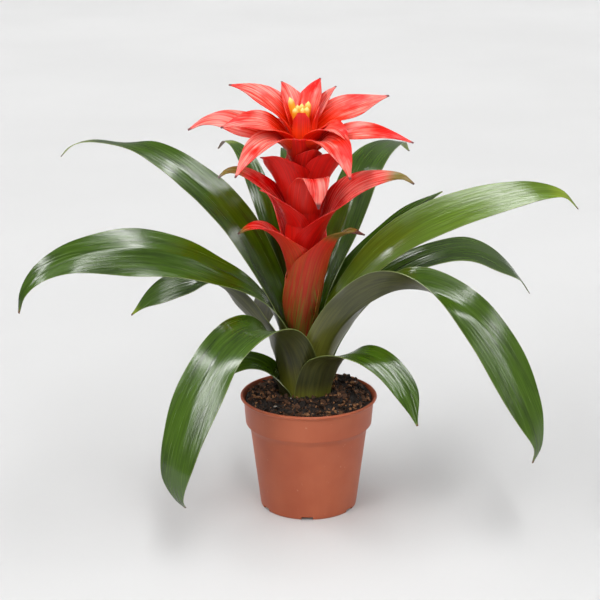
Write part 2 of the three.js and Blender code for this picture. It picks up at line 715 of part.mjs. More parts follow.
function soilSolid() {
  const wallSteps = [SOIL.edge, POT.collarFootHeight, POT.bodyTopHeight, SOIL.bottom];
  const wall = wallSteps.map((z) => [potInside(z) - GAP, z]);
  const positions = [];
  const index = [];
  const sides = SOIL.sides;
  const place = (inner, radius, height) => {
    for (let i = 0; i < sides; i += 1) {
      const angle = 2 * Math.PI * i / sides;
      const turn = angle > Math.PI ? angle - 2 * Math.PI : angle;
      const [x, y] = inner ? soilPoint(radius, turn) : [radius * Math.cos(turn), radius * Math.sin(turn)];
      positions.push(x, y, height(turn));
    }
  };
  place(true, SOIL.holeRadius, () => SOIL.holeFloor);
  for (let ring = 0; ring <= SOIL.rings; ring += 1) {
    const radius = SOIL.holeRadius + (wall[0][0] - SOIL.holeRadius) * ring / SOIL.rings;
    place(true, radius, (angle) => soilHeight(radius, angle));
  }
  for (const [radius, z] of wall.slice(1)) place(false, radius, () => z);
  const count = positions.length / (3 * sides);
  for (let ring = 0; ring < count - 1; ring += 1) {
    for (let i = 0; i < sides; i += 1) {
      const a = ring * sides + i;
      const b = ring * sides + (i + 1) % sides;
      index.push(a, a + sides, b, b, a + sides, b + sides);
    }
  }
  const top = positions.length / 3;
  positions.push(PLANT.x, PLANT.y, SOIL.holeFloor, 0, 0, SOIL.bottom);
  for (let i = 0; i < sides; i += 1) {
    const next = (i + 1) % sides;
    const last = (count - 1) * sides;
    index.push(top, i, next);
    index.push(top + 1, last + next, last + i);
  }
  const geometry = new THREE.BufferGeometry();
  geometry.setAttribute('position', new THREE.Float32BufferAttribute(positions, 3));
  geometry.setIndex(index);
  return wasm.Manifold.union([solidOf(geometry), ...barkChips()]);
}

/** Flat chips of bark that stick out of the soil. */
function barkChips() {
  const random = seeded(CHIP.seed);
  const chips = [];
  for (let i = 0; i < CHIP.count; i += 1) {
    const angle = (i * CHIP.goldenAngle + CHIP.strayAngle * random()) % 360;
    const turn = rad(angle > 180 ? angle - 360 : angle);
    const radius = CHIP.radius[0] + CHIP.radius[1] * random();
    const size = CHIP.size.map(([least, more]) => least + more * random());
    const tilt = [CHIP.tilt * (2 * random() - 1), CHIP.tilt * (2 * random() - 1), 360 * random()];
    const [x, y] = soilPoint(radius, turn);
    const chip = solidOf(new THREE.BoxGeometry(...size)).rotate(tilt);
    chips.push(chip.translate([x, y, soilHeight(radius, turn) + CHIP.proud]));
  }
  return chips;
}

// ---------------------------------------------------------------- the plant

const plant = new THREE.Group();
plant.add(meshOf('pot', potSolid(), FINISH.pot));
plant.add(meshOf('soil', soilSolid(), FINISH.soil));
plant.add(meshOf('crown', crownSolid(), FINISH.crown));
leafSolids().forEach((solid, i) => {
  plant.add(meshOf(`leaf_${String(i + 1).padStart(2, '0')}`, solid, FINISH.leaf));
});
plant.add(meshOf('flower_stem', flowerStemSolid(), FINISH.bract));
plant.add(meshOf('flower_head', flowerHeadSolid(), FINISH.bract));
plant.add(meshOf('florets', floretsSolid(), FINISH.floret));

export default plant;
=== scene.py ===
"""Dresses a potted bromeliad with fine leaves, bracts, florets, soil and pot.

The plant is built from blades: every leaf and every bract is one curved plate, swept along its
midrib. The sizes below are millimetres in the frame's own axes, +Z up, +X to the right and +Y to
the back, and meshes are made in metres. Each piece stands where its solid of the frame stands.
"""

import logging
import math
import random
from collections.abc import Callable
from dataclasses import dataclass, field
from enum import Enum

import bmesh
import bpy
import numpy as np
from mathutils import Euler, Matrix, Vector, noise


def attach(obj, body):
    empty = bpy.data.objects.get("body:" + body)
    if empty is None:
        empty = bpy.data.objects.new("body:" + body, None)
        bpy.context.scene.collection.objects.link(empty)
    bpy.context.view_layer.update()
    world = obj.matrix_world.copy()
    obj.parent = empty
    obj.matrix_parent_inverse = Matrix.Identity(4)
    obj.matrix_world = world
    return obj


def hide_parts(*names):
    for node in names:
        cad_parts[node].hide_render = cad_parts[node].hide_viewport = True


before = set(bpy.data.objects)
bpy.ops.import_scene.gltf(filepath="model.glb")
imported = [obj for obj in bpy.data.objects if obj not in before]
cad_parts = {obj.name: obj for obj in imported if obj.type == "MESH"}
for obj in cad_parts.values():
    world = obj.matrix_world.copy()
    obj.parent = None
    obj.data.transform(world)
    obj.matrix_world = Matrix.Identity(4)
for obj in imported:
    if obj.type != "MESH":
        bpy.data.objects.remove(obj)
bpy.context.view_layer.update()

log = logging.getLogger("bromeliad")

Series = tuple[float, ...]
Points = tuple[tuple[float, float], ...]
Place = tuple[float, float]
Span = tuple[float, float]
Triple = tuple[float, float, float]
Socket = bpy.types.NodeSocket

MM = 0.001
PLANT: Place = (-4, 5)
HEAD: Place = (-6, 5)
NEVER = 1.1   # a share past the tip, for a tip colour that isn't there
SHARP_ANGLE = math.radians(48)
CURVE_STEPS = 60   # between two points of a midrib
SRGB_KNEE = 0.04045
SRGB_SLOPE = 12.92
SRGB_OFFSET = 0.055
SRGB_POWER = 2.4
WHITE = "ffffff"
CLOUD_ROUGHNESS = 0.55
MIX_COLOUR_INPUTS = (0, 6, 7)   # share, first and second colour among a mix node's sockets
MIX_COLOUR_OUTPUT = 2
CHIP_SEED = 7
LITTER_SEED = 5
DRAW_FACTOR = 1664525
DRAW_STEP = 1013904223
DRAW_RANGE = 2 ** 32
BIT_SQUARENESS = 0.7


class Slot(Enum):
    """The record's material slots."""

    POT = "pot_plastic"
    SOIL = "bark_soil"
    CROWN = "crown_green"
    LEAF = "leaf_green"
    BRACT = "bract_red"
    FLORET = "floret_yellow"


class Grain(Enum):
    """How long the streaks of a finish run: across the blade and along it, per millimetre."""

    VEIN = (1.1, 0.012)
    STREAK = (0.62, 0.03)
    BAND = (0.16, 0.02)
    PATCH = (0.05, 0.03)


# ------------------------------------------------------------------------------ blades


@dataclass(frozen=True)
class Look:
    """What sets one blade's colour apart from its neighbours'.

    Attributes:
        foot: how far up the foot's own colour reaches, as a share of the blade.
        tip: where the tip's own colour starts, as a share of the blade.
        dry: where the dead brown point starts, as a share of the blade.
        streak: strength of the pale lengthwise streaks, a painted sheen on the bracts.
        glow: warmth, from 0 for plain red to 1 for orange.
    """

    foot: float = 0.14
    tip: float = 0.97
    dry: float = 0.985
    streak: float = 0.5
    glow: float = 0.2


@dataclass(frozen=True, kw_only=True)
class Blade:
    """One leaf or bract: a curved plate swept along a midrib in an upright plane.

    Attributes:
        turn: the way it points, in degrees from +X towards +Y.
        spine: reach from the axis and height of points on the midrib, from the foot to the tip.
        width: half widths at even steps.
        cup: half angle of the round channel at even steps, in degrees.
        fold: slope of both halves at the midrib at even steps, in degrees.
        roll: tilt about the midrib at even steps, in degrees.
        swing: turn of the foot about the axis at even steps, in degrees.
        thick: thickness at the midrib.
        edge: thickness at the margins.
        axis: where the axis that it grows round stands.
    """

    turn: float
    spine: Points
    width: Series = ()
    cup: Series = (0, 0)
    fold: Series = (0, 0)
    roll: Series = (0, 0)
    swing: Series = (0, 0)
    thick: float = 1.0
    edge: float = 0.7
    axis: Place = PLANT


@dataclass(frozen=True, kw_only=True)
class Leaf(Blade):
    """A leaf with its sheath.

    Attributes:
        layer: its place among the nested sheaths, 0 outermost.
        sheath: half the angle that its foot wraps round the crown.
    """

    layer: int
    sheath: float

    def grown(self) -> Blade:
        """The leaf with its foot on the crown, as a plain blade.

        Returns:
            The blade with the foot's own point and half width put first.
        """
        radius = SHEATHS.radius - SHEATHS.pitch * self.layer
        foot = (radius, SHEATHS.foot + SHEATHS.rise * self.layer)
        return Blade(
            turn=self.turn, spine=(foot, *self.spine),
            width=(radius * math.radians(self.sheath), *self.width),
            cup=self.cup, fold=self.fold, roll=self.roll, swing=self.swing,
            thick=LEAF_THICK, edge=LEAF_EDGE,
        )


@dataclass(frozen=True, kw_only=True)
class Bract(Blade):
    """A bract of the flower stem."""

    def grown(self) -> Blade:
        """The bract itself."""
        return self


@dataclass(frozen=True, kw_only=True)
class HeadBract(Blade):
    """A bract of the flower head, which shares its outline with the others.

    Attributes:
        wide: its greatest half width.
        tilt: its greatest roll, in degrees.
        outline: its own half widths as shares of wide, where the shared ones don't fit.
    """

    wide: float
    tilt: float = 0
    outline: Series = ()

    def grown(self) -> Blade:
        """The bract with the shared outline laid over its own size.

        Returns:
            The blade on the flower head's axis.
        """
        return Blade(
            turn=self.turn, spine=self.spine, axis=HEAD,
            width=tuple(share * self.wide for share in self.outline or HEAD_SHAPE.width),
            cup=HEAD_SHAPE.cup, fold=HEAD_SHAPE.fold,
            roll=tuple(share * self.tilt for share in HEAD_SHAPE.tilt),
        )


@dataclass(frozen=True)
class SheathNest:
    """How the leaf sheaths nest: outermost radius, step inwards, foot height and step upwards."""

    radius: float = 22.4
    pitch: float = 1.9
    foot: float = 95
    rise: float = 4.4
    chord: float = 0.965


@dataclass(frozen=True)
class HeadShape:
    """The outline that all bracts of the head share, at even steps from foot to tip."""

    width: Series = (0.55, 0.95, 1, 0.86, 0.45, 0.06)
    cup: Series = (80, 45, 20, 10, 5)
    fold: Series = (0, 5, 8, 8, 10)
    tilt: Series = (0, 0.5, 1, 1, 0.7)


SHEATHS = SheathNest()
HEAD_SHAPE = HeadShape()
LEAF_THICK = 0.8
LEAF_EDGE = 0.65

LEAVES: tuple[Leaf, ...] = (
    Leaf(
        turn=200, layer=0, sheath=47,
        spine=((23, 108), (28, 119), (36, 128), (46, 134), (57, 136), (71, 131), (84, 119)),
        width=(16, 12, 10, 7.5, 0.8),
        cup=(0, 30, 20, 10, 0), fold=(0, 10, 10, 5), roll=(0, -25, -40, -35),
    ),
    Leaf(
        turn=318, layer=0, sheath=59,
        spine=((24, 113), (33, 137), (52, 149), (75, 152), (96, 145), (115, 129), (127, 102)),
        width=(22, 18, 15, 13, 10, 0.8),
        cup=(0, 15, 20, 5, 0), fold=(0, 0, -5, -5, 0), roll=(0, -10, 10, 30, 30),
        swing=(-13, -10, -3, 0, 0, 0),
    ),
    Leaf(
        turn=75, layer=0, sheath=50,
        spine=((24, 113), (33, 132), (50, 144), (75, 144), (98, 130), (112, 108)),
        width=(19, 17, 15, 14, 10, 0.8),
        cup=(0, 30, 15, 5, 0), fold=(0, 10, 8, 4, 0),
    ),
    Leaf(
        turn=228, layer=1, sheath=62,
        spine=(
            (21.6, 120), (28, 146), (40, 164), (56, 173), (76, 174), (93, 168), (109, 158),
            (123, 144), (137, 126), (148, 106), (156, 86), (160, 66), (155, 48), (148, 39),
        ),
        width=(23, 23, 22, 22, 23, 20, 15, 0.8),
        cup=(0, 50, 15, 5, 0, 0), fold=(0, 0, 0, -5, -5, 0), roll=(0, 3, -10, -12, -8, -5),
        swing=(24, 14, 3, 0, 0, 0, 0, 0),
    ),
    Leaf(
        turn=30, layer=1, sheath=48,
        spine=(
            (21.6, 118), (28, 142), (44, 166), (70, 188), (99, 201), (124, 208), (152, 211),
            (178, 208), (202, 197), (228, 178), (245, 156),
        ),
        width=(17, 16, 16, 14.5, 17, 20, 14, 0.8),
        cup=(0, 20, 20, 10, 0, 0), fold=(0, 0, -5, -5, 0), roll=(0, 5, 15, 18, 32, 15),
        swing=(8, 4, 0, 0, 0, 0, 0, 0),
    ),
    Leaf(
        turn=108, layer=2, sheath=48,
        spine=((19.4, 126), (27, 149), (43, 166), (68, 173), (95, 164), (118, 141), (132, 112)),
        width=(16, 16, 16, 15, 11, 0.8),
        cup=(0, 15, 15, 5, 0), fold=(0, 5, 8, 4, 0),
    ),
    Leaf(
        turn=342, layer=2, sheath=55,
        spine=(
            (19.6, 126), (28, 152), (43, 175), (63, 193), (84, 204), (105, 205), (127, 199),
            (146, 188), (162, 172), (178, 150), (192, 124), (204, 96), (209, 75), (205, 60),
        ),
        width=(23, 23, 23, 19, 20, 21, 15, 0.8),
        cup=(0, 30, 20, 5, 0, 0), fold=(0, 25, 35, 5, -5, 0),
        roll=(0, -20, -35, 5, 35, 40, 35, 25), swing=(-22, -18, -8, 0, 0, 0, 0, 0),
    ),
    Leaf(
        turn=172, layer=3, sheath=50,
        spine=(
            (17.4, 128), (22, 146), (31, 160), (42, 171), (53, 183), (64, 193), (77, 200),
            (90, 201), (105, 198), (124, 190), (140, 180), (154, 166),
        ),
        width=(13, 11.5, 10.5, 13.5, 12, 0.8),
        cup=(0, 10, 20, 10, 0), fold=(0, 0, 10, 0, 0),
        roll=(0, 0, 5, 32, 48, 15, -35, -45, -42, -35), swing=(24, 23, 20, 14, 5, 0, 0, 0),
    ),
    Leaf(
        turn=192, layer=4, sheath=58,
        spine=(
            (16.4, 138), (23, 165), (35, 189), (52, 205), (76, 218), (106, 232), (140, 240),
            (175, 240), (205, 235), (228, 223), (241, 207), (245, 190),
        ),
        width=(14, 12, 14, 20.5, 23.5, 17, 9, 0.8),
        cup=(0, 10, 15, 5, 0, 0), fold=(0, 0, -12, -18, -10, 0),
        roll=(0, -5, -40, -50, -48, -40), swing=(13, 8, 2, 0, 0, 0, 0, 0),
    ),
    Leaf(
        turn=42, layer=4, sheath=42,
        spine=(
            (16, 136), (26, 163), (45, 190), (68, 210), (96, 228), (124, 242), (150, 251),
            (171, 256),
        ),
        width=(15, 15, 13, 11.5, 9.5, 0.8),
        cup=(0, 40, 20, 10, 0), fold=(0, 8, 8, 5, 0),
    ),
    Leaf(
        turn=12, layer=5, sheath=50,
        spine=(
            (14, 140), (23, 168), (41, 196), (63, 219), (91, 240), (123, 255), (152, 264),
            (181, 270), (211, 273), (234, 269), (248, 255),
        ),
        width=(15, 16, 18, 18, 17.5, 15.5, 10, 0.8),
        cup=(0, 10, 15, 5, 0, 0), fold=(0, 0, 5, 5, 0, 0), roll=(0, 10, 30, 42, 40, 20),
    ),
    Leaf(
        turn=152, layer=5, sheath=50,
        spine=(
            (13.4, 141), (22, 171), (36, 202), (50, 225), (64, 244), (79, 259), (94, 272),
            (111, 283), (126, 292), (141, 299), (160, 305), (190, 306), (217, 306), (231, 303),
            (243, 297), (252, 288),
        ),
        width=(14, 16, 17, 18, 18, 15.5, 12, 8.5, 6.5, 0.8),
        cup=(0, 10, 15, 5, 0, 0), fold=(0, 0, 5, 5, 0, 0),
        roll=(0, 0, -5, -15, -24, -30, -30, -25, 4, 0, -10),
    ),
    Leaf(
        turn=118, layer=6, sheath=28,
        spine=(
            (12, 146), (19, 162), (30, 180), (40, 196), (51, 214), (61, 231), (80, 259),
            (94, 275), (109, 289), (125, 297), (142, 300), (157, 298), (170, 289),
        ),
        width=(8, 11, 11, 11, 11, 9, 5, 0.8),
        cup=(0, 40, 20, 10, 0, 0), fold=(0, 5, 8, 5, 0),
    ),
    Leaf(
        turn=60, layer=6, sheath=28,
        spine=(
            (12, 146), (22, 176), (50, 211), (69, 232), (85, 254), (101, 274), (121, 289),
            (149, 296), (180, 294), (199, 282),
        ),
        width=(9, 14, 18, 20, 19, 12, 0.8),
        cup=(0, 40, 20, 10, 0, 0), fold=(0, 5, 8, 5, 0),
    ),
    Leaf(
        turn=95, layer=7, sheath=40,
        spine=(
            (11.5, 152), (21.5, 186), (36, 216), (53, 244), (72, 269), (95, 286), (122, 293),
            (148, 288), (168, 270),
        ),
        width=(6, 9, 13, 15, 13, 9, 0.8),
        cup=(0, 30, 20, 10, 0, 0), fold=(0, 5, 8, 5, 0),
    ),
)

LONG_CUP: Series = (85, 85, 60, 30, 20, 10)
LONG_FOLD: Series = (0, 0, 0, 10, 15, 10)
SHORT_CUP: Series = (85, 85, 60, 30, 15)
SHORT_FOLD: Series = (0, 0, 0, 10, 20)
UPPER_CUP: Series = (85, 80, 50, 25, 15)
UPPER_FOLD: Series = (0, 0, 5, 10, 10)

STEM_BRACTS: tuple[Bract, ...] = (
    Bract(
        turn=312,
        spine=((6, 146), (10, 175), (17, 205), (27, 232), (42, 250), (58, 258), (74, 259)),
        width=(12, 26, 31, 26, 14, 8, 0.8),
        cup=LONG_CUP, fold=LONG_FOLD, roll=(0, 0, 0, 15),
    ),
    Bract(
        turn=213,
        spine=((6, 165), (11, 195), (18, 225), (30, 247), (45, 257), (58, 258), (66, 255)),
        width=(12, 24, 29, 27, 16, 8, 0.8),
        cup=LONG_CUP, fold=LONG_FOLD, roll=(0, 0, -10, -20),
    ),
    Bract(
        turn=64,
        spine=((6, 160), (10, 185), (17, 212), (27, 236), (38, 249), (49, 254)),
        width=(12, 24, 27, 20, 8, 0.8),
        cup=SHORT_CUP, fold=SHORT_FOLD,
    ),
    Bract(
        turn=335,
        spine=(
            (6, 195), (10, 220), (18, 248), (30, 272), (50, 292), (74, 302), (90, 304),
            (100, 299),
        ),
        width=(11, 24, 28, 26, 19, 12, 6, 0.8),
        cup=(85, 85, 60, 30, 15, 10), fold=(0, 0, 0, 5, 5, 5), roll=(0, 0, 15, 40, 40, 30),
    ),
    Bract(
        turn=132,
        spine=((6, 190), (10, 216), (18, 242), (30, 262), (44, 272), (58, 274)),
        width=(11, 22, 24, 18, 8, 0.8),
        cup=SHORT_CUP, fold=SHORT_FOLD,
    ),
    Bract(
        turn=198,
        spine=((6, 215), (11, 240), (19, 268), (38, 291), (58, 304), (68, 305), (76, 300)),
        width=(11, 22, 24, 19, 11, 6, 0.8),
        cup=LONG_CUP, fold=(0, 0, 0, 5, 10, 10), roll=(0, 0, -15, -35, -30),
    ),
    Bract(
        turn=285,
        spine=((6, 230), (11, 256), (19, 281), (29, 298), (38, 301), (44, 292), (45, 278)),
        width=(11, 22, 25, 22, 15, 9, 0.8),
        cup=(85, 85, 60, 15, 5, 0), fold=(0, 0, 0, 5, 5, 5),
    ),
    Bract(
        turn=62,
        spine=((6, 225), (11, 250), (18, 272), (26, 287), (35, 296)),
        width=(11, 20, 19, 13, 0.8),
        cup=SHORT_CUP, fold=SHORT_FOLD,
    ),
    Bract(
        turn=110,
        spine=((6, 240), (10, 264), (18, 286), (29, 302), (42, 309)),
        width=(10, 19, 19, 12, 0.8),
        cup=UPPER_CUP, fold=(0, 0, 5, 10, 20),
    ),
    Bract(
        turn=216,
        spine=((6, 252), (14, 271), (21, 288), (28, 303), (36, 314), (45, 318)),
        width=(10, 20, 21, 19, 14, 0.8),
        cup=UPPER_CUP, fold=UPPER_FOLD, roll=(0, 0, 10, 20, 20),
    ),
    Bract(
        turn=318,
        spine=((6, 256), (13, 276), (19, 293), (26, 307), (34, 317), (42, 319)),
        width=(10, 20, 21, 19, 14, 0.8),
        cup=UPPER_CUP, fold=UPPER_FOLD, roll=(0, 0, -10, -20, -20),
    ),
    Bract(
        turn=235,
        spine=((6, 260), (12, 281), (19, 299), (25, 311), (30, 317)),
        width=(10, 19, 21, 15, 0.8),
        cup=UPPER_CUP, fold=UPPER_FOLD,
    ),
    Bract(
        turn=288,
        spine=((6, 268), (9, 289), (15, 308), (22, 320), (28, 325)),
        width=(10, 18, 20, 14, 0.8),
        cup=UPPER_CUP, fold=UPPER_FOLD,
    ),
)

HEAD_BRACTS: tuple[HeadBract, ...] = (
    HeadBract(
        turn=222, wide=12.5, tilt=-15,
        spine=((9, 313), (16, 322), (28, 331), (41, 331), (53, 326), (63, 318), (74, 306)),
    ),
    HeadBract(
        turn=310, wide=14.5, tilt=16,
        spine=((9, 312), (15, 321), (28, 331), (42, 330), (53, 320), (62, 304)),
    ),
    HeadBract(
        turn=186, wide=14, tilt=-48,
        spine=((10, 316), (21, 327), (36, 335), (52, 341), (68, 346), (82, 345), (96, 338)),
        outline=(0.55, 0.85, 1, 0.8, 0.35, 0.06),
    ),
    HeadBract(
        turn=205, wide=13, tilt=-35,
        spine=((9, 322), (18, 333), (32, 343), (50, 347), (64, 346), (74, 344)),
    ),
    HeadBract(
        turn=158, wide=15, tilt=-20,
        spine=((8, 328), (14, 342), (29, 357), (45, 366), (57, 369), (67, 370)),
    ),
    HeadBract(
        turn=116, wide=12,
        spine=((7.5, 330), (13, 346), (22, 360), (32, 368), (40, 371)),
    ),
    HeadBract(
        turn=100, wide=11,
        spine=((7.5, 328), (14, 342), (25, 354), (37, 361), (46, 364)),
    ),
    HeadBract(
        turn=66, wide=12,
        spine=((7.5, 331), (12.5, 348), (21, 362), (30, 370), (39, 374)),
    ),
    HeadBract(
        turn=46, wide=10,
        spine=((8, 328), (14, 343), (24, 356), (34, 364), (42, 368)),
    ),
    HeadBract(
        turn=18, wide=15, tilt=35,
        spine=((8, 325), (16, 337), (32, 348), (50, 354), (64, 358), (78, 361)),
    ),
    HeadBract(
        turn=345, wide=12, tilt=35,
        spine=((10, 316), (22, 326), (40, 334), (60, 337), (79, 335), (96, 330)),
        outline=(0.55, 0.95, 1, 0.75, 0.35, 0.06),
    ),
    HeadBract(
        turn=322, wide=14, tilt=10,
        spine=((9, 321), (15, 330), (27, 340), (38, 340), (49, 332)),
    ),
    HeadBract(
        turn=266, wide=16,
        spine=((10, 309), (15, 318), (21, 327), (27, 333)),
        outline=(0.5, 0.85, 1, 1, 0.85, 0.3),
    ),
    HeadBract(
        turn=268, wide=8.4,
        spine=((10, 326), (12, 334), (13, 342), (13, 349), (12, 353)),
        outline=(0.6, 0.95, 1, 1, 0.85, 0.4),
    ),
    HeadBract(
        turn=350, wide=8,
        spine=((10, 326), (12, 336), (13.5, 347), (15, 357)),
    ),
    HeadBract(
        turn=95, wide=15,
        spine=((9, 317), (19, 329), (38, 342), (60, 346), (78, 339)),
    ),
    HeadBract(
        turn=62, wide=14,
        spine=((10, 315), (21, 327), (40, 336), (58, 336), (73, 327)),
    ),
    HeadBract(
        turn=136, wide=14,
        spine=((10, 315), (21, 326), (40, 335), (58, 333), (73, 322)),
    ),
    HeadBract(
        turn=28, wide=13,
        spine=((10, 312), (16, 321), (28, 330), (42, 333), (53, 330)),
    ),
)

STALK: Points = (
    (7, 130.3), (7, 150), (9.5, 175), (14.5, 205), (13, 222), (17, 247), (14, 262), (15.5, 278),
    (12, 290), (8, 300),
)
HEAD_CORE: Points = ((7, 300.3), (10.5, 311), (12.5, 320), (9.5, 331), (6.2, 337))

PLAIN_LEAF = Look()
LEAF_LOOKS = {
    7: Look(foot=0.26, glow=0.3),
    8: Look(tip=0.93),
    9: Look(foot=0.2),
    10: Look(dry=0.99),
    11: Look(foot=0.28, tip=0.88, glow=0.6),
    12: Look(foot=0.2, tip=0.86),
    13: Look(tip=0.84, dry=0.9),
    14: Look(tip=0.9),
}
PLAIN_BRACT = Look(foot=0.12, streak=0.45, glow=0.05)
STEM_LOOKS = {
    1: Look(foot=0.95, tip=0.7, dry=0.9, streak=0.25, glow=0.0),
    2: Look(foot=0.9, tip=0.88, dry=0.97, streak=0.35, glow=0.05),
    3: Look(foot=0.8, tip=0.76, dry=0.95, streak=0.3, glow=0.0),
    4: Look(foot=0.3, tip=0.8, dry=0.97, streak=0.7, glow=0.0),
    6: Look(foot=0.2, tip=0.78, dry=0.96, streak=0.5, glow=0.0),
    7: Look(foot=0.1, tip=1.0, dry=0.94, streak=1.0, glow=0.1),
}
PLAIN_HEAD = Look(foot=0.05, tip=NEVER, dry=0.955, streak=1.0, glow=0.5)
HEAD_LOOKS = {
    13: Look(foot=0.05, tip=NEVER, dry=NEVER, streak=0.2, glow=0.2),
    14: Look(foot=0.05, tip=NEVER, dry=NEVER, streak=0.5, glow=1.0),
    15: Look(foot=0.05, tip=NEVER, dry=NEVER, streak=0.4, glow=0.9),
}


def linear(code: str) -> tuple[float, float, float, float]:
    """A colour written as six hex digits, as the shaders want it.

    Args:
        code: red, green and blue in hex, as on a screen.

    Returns:
        Linear red, green, blue and a full alpha.
    """
    shares = [int(code[i : i + 2], 16) / 255 for i in (0, 2, 4)]
    red, green, blue = (
        s / SRGB_SLOPE if s <= SRGB_KNEE else ((s + SRGB_OFFSET) / (1 + SRGB_OFFSET)) ** SRGB_POWER
        for s in shares
    )
    return (red, green, blue, 1.0)


def smooth(value: np.ndarray, low: float, high: float) -> np.ndarray:
    """A soft step from 0 at low to 1 at high.

    Args:
        value: what to test.
        low: where the step starts.
        high: where it ends.

    Returns:
        The step's height for each value.
    """
    share = np.clip((value - low) / (high - low), 0, 1)
    return share * share * (3 - 2 * share)


def along(series: Series, share: np.ndarray) -> np.ndarray:
    """Smooth values between the evenly spaced values of a series.

    Args:
        series: the values, from the foot to the tip.
        share: where to read them, from 0 to 1.

    Returns:
        One value for each share.
    """
    values = np.array(series, float)
    place = share * (len(values) - 1)
    i = np.minimum(np.floor(place).astype(int), len(values) - 2)
    f = place - i
    a = values[np.maximum(i - 1, 0)]
    b = values[i]
    c = values[i + 1]
    d = values[np.minimum(i + 2, len(values) - 1)]
    return b + 0.5 * f * (c - a + f * (2 * a - 5 * b + 4 * c - d + f * (3 * (b - c) + d - a)))


def midrib(spine: Points, share: np.ndarray) -> tuple[np.ndarray, np.ndarray, float]:
    """Even steps along the smooth curve through a blade's spine points.

    Args:
        spine: reach and height of each point.
        share: where to read the curve, as shares of its length.

    Returns:
        Reach and height at each share, the direction there, and the whole length.
    """
    knots = np.array(spine, float)
    padded = np.vstack([2 * knots[0] - knots[1], knots, 2 * knots[-1] - knots[-2]])
    steps = np.linspace(0, 1, CURVE_STEPS, endpoint=False)
    dense = []
    for i in range(len(knots) - 1):
        p0, p1, p2, p3 = padded[i : i + 4]
        d0, d1, d2 = (math.sqrt(math.dist(a, b)) for a, b in ((p0, p1), (p1, p2), (p2, p3)))
        t1 = ((p1 - p0) / d0 - (p2 - p0) / (d0 + d1) + (p2 - p1) / d1) * d1
        t2 = ((p2 - p1) / d1 - (p3 - p1) / (d1 + d2) + (p3 - p2) / d2) * d1
        square = (3 * (p2 - p1) - 2 * t1 - t2)[None, :] * steps[:, None] ** 2
        cube = (2 * (p1 - p2) + t1 + t2)[None, :] * steps[:, None] ** 3
        dense.append(p1 + t1 * steps[:, None] + square + cube)
    line = np.vstack([*dense, knots[-1:]])
    lengths = np.concatenate([[0], np.cumsum(np.linalg.norm(np.diff(line, axis=0), axis=1))])
    where = share * lengths[-1]
    place = np.stack([np.interp(where, lengths, line[:, k]) for k in (0, 1)], 1)
    slope = np.gradient(line, lengths, axis=0)
    way = np.stack([np.interp(where, lengths, slope[:, k]) for k in (0, 1)], 1)
    return place, way / np.linalg.norm(way, axis=1, keepdims=True), float(lengths[-1])


# ------------------------------------------------------------------------------ meshes


@dataclass
class Shape:
    """Points, faces and point values of one piece, gathered before its mesh is made."""

    points: list[np.ndarray] = field(default_factory=list)
    faces: list[np.ndarray] = field(default_factory=list)
    values: dict[str, list[np.ndarray]] = field(default_factory=dict)
    count: int = 0

    def add(self, points: np.ndarray, faces: np.ndarray, **values: np.ndarray | float) -> None:
        """Adds a body to the piece.

        Args:
            points: its points, in millimetres.
            faces: its four-sided faces. A three-sided one repeats its last point.
            values: named numbers, one for each point or one for all.
        """
        self.points.append(points)
        self.faces.append(faces + self.count)
        self.count += len(points)
        for name, value in values.items():
            full = np.broadcast_to(np.asarray(value, float), (len(points),))
            self.values.setdefault(name, []).append(full)

    def mesh(self, name: str) -> bpy.types.Mesh:
        """Makes the mesh, in metres, with soft shading between gentle faces.

        Args:
            name: what to call it.

        Returns:
            The new mesh.
        """
        mesh = bpy.data.meshes.new(name)
        faces = [list(dict.fromkeys(face)) for face in np.vstack(self.faces).tolist()]
        mesh.from_pydata((np.vstack(self.points) * MM).tolist(), [], faces)
        for key, parts in self.values.items():
            layer = mesh.attributes.new(key, "FLOAT", "POINT")
            layer.data.foreach_set("value", np.concatenate(parts).astype(np.float32))
        mesh.shade_smooth()
        mesh.set_sharp_from_angle(angle=SHARP_ANGLE)
        return mesh


def place_piece(name: str, mesh: bpy.types.Mesh, slot: Slot, *nodes: str) -> bpy.types.Object:
    """Puts a mesh in the scene as a piece that stands for solids of the frame.

    Args:
        name: the piece's name.
        mesh: its mesh, already in its place.
        slot: the material slot that its finish belongs to; not used.
        nodes: the solids that it stands for.

    Returns:
        The new object.
    """
    piece = bpy.data.objects.new(name, mesh)
    bpy.context.scene.collection.objects.link(piece)
    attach(piece, "root")
    if nodes:
        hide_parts(*nodes)
    log.info("%s: %d faces", name, len(mesh.polygons))
    return piece


def lathe(profile: Points, sides: int, axis: Place = (0, 0)) -> tuple[np.ndarray, np.ndarray]:
    """A body turned about an upright axis.

    Args:
        profile: radius and height of each point. The first and last lie on the axis.
        sides: steps round it.
        axis: where the axis stands.

    Returns:
        Its points and faces.
    """
    turns = np.arange(sides) * 2 * math.pi / sides
    rings = [
        np.stack([axis[0] + r * np.cos(turns), axis[1] + r * np.sin(turns), np.full(sides, z)], 1)
        for r, z in profile[1:-1]
    ]
    ends = np.array([[*axis, profile[0][1]], [*axis, profile[-1][1]]], float)
    points = np.vstack([*rings, ends])
    low, high = len(points) - 2, len(points) - 1
    here = np.arange(sides)
    after = (here + 1) % sides
    faces = []
    for ring in range(len(rings) - 1):
        a = ring * sides
        faces.append(np.stack([a + here, a + after, a + sides + after, a + sides + here], 1))
    last = (len(rings) - 1) * sides
    faces.append(np.stack([after, here, np.full(sides, low), np.full(sides, low)], 1))
    faces.append(np.stack([last + here, last + after, np.full(sides, high), np.full(sides, high)], 1))
    return points, np.vstack(faces)


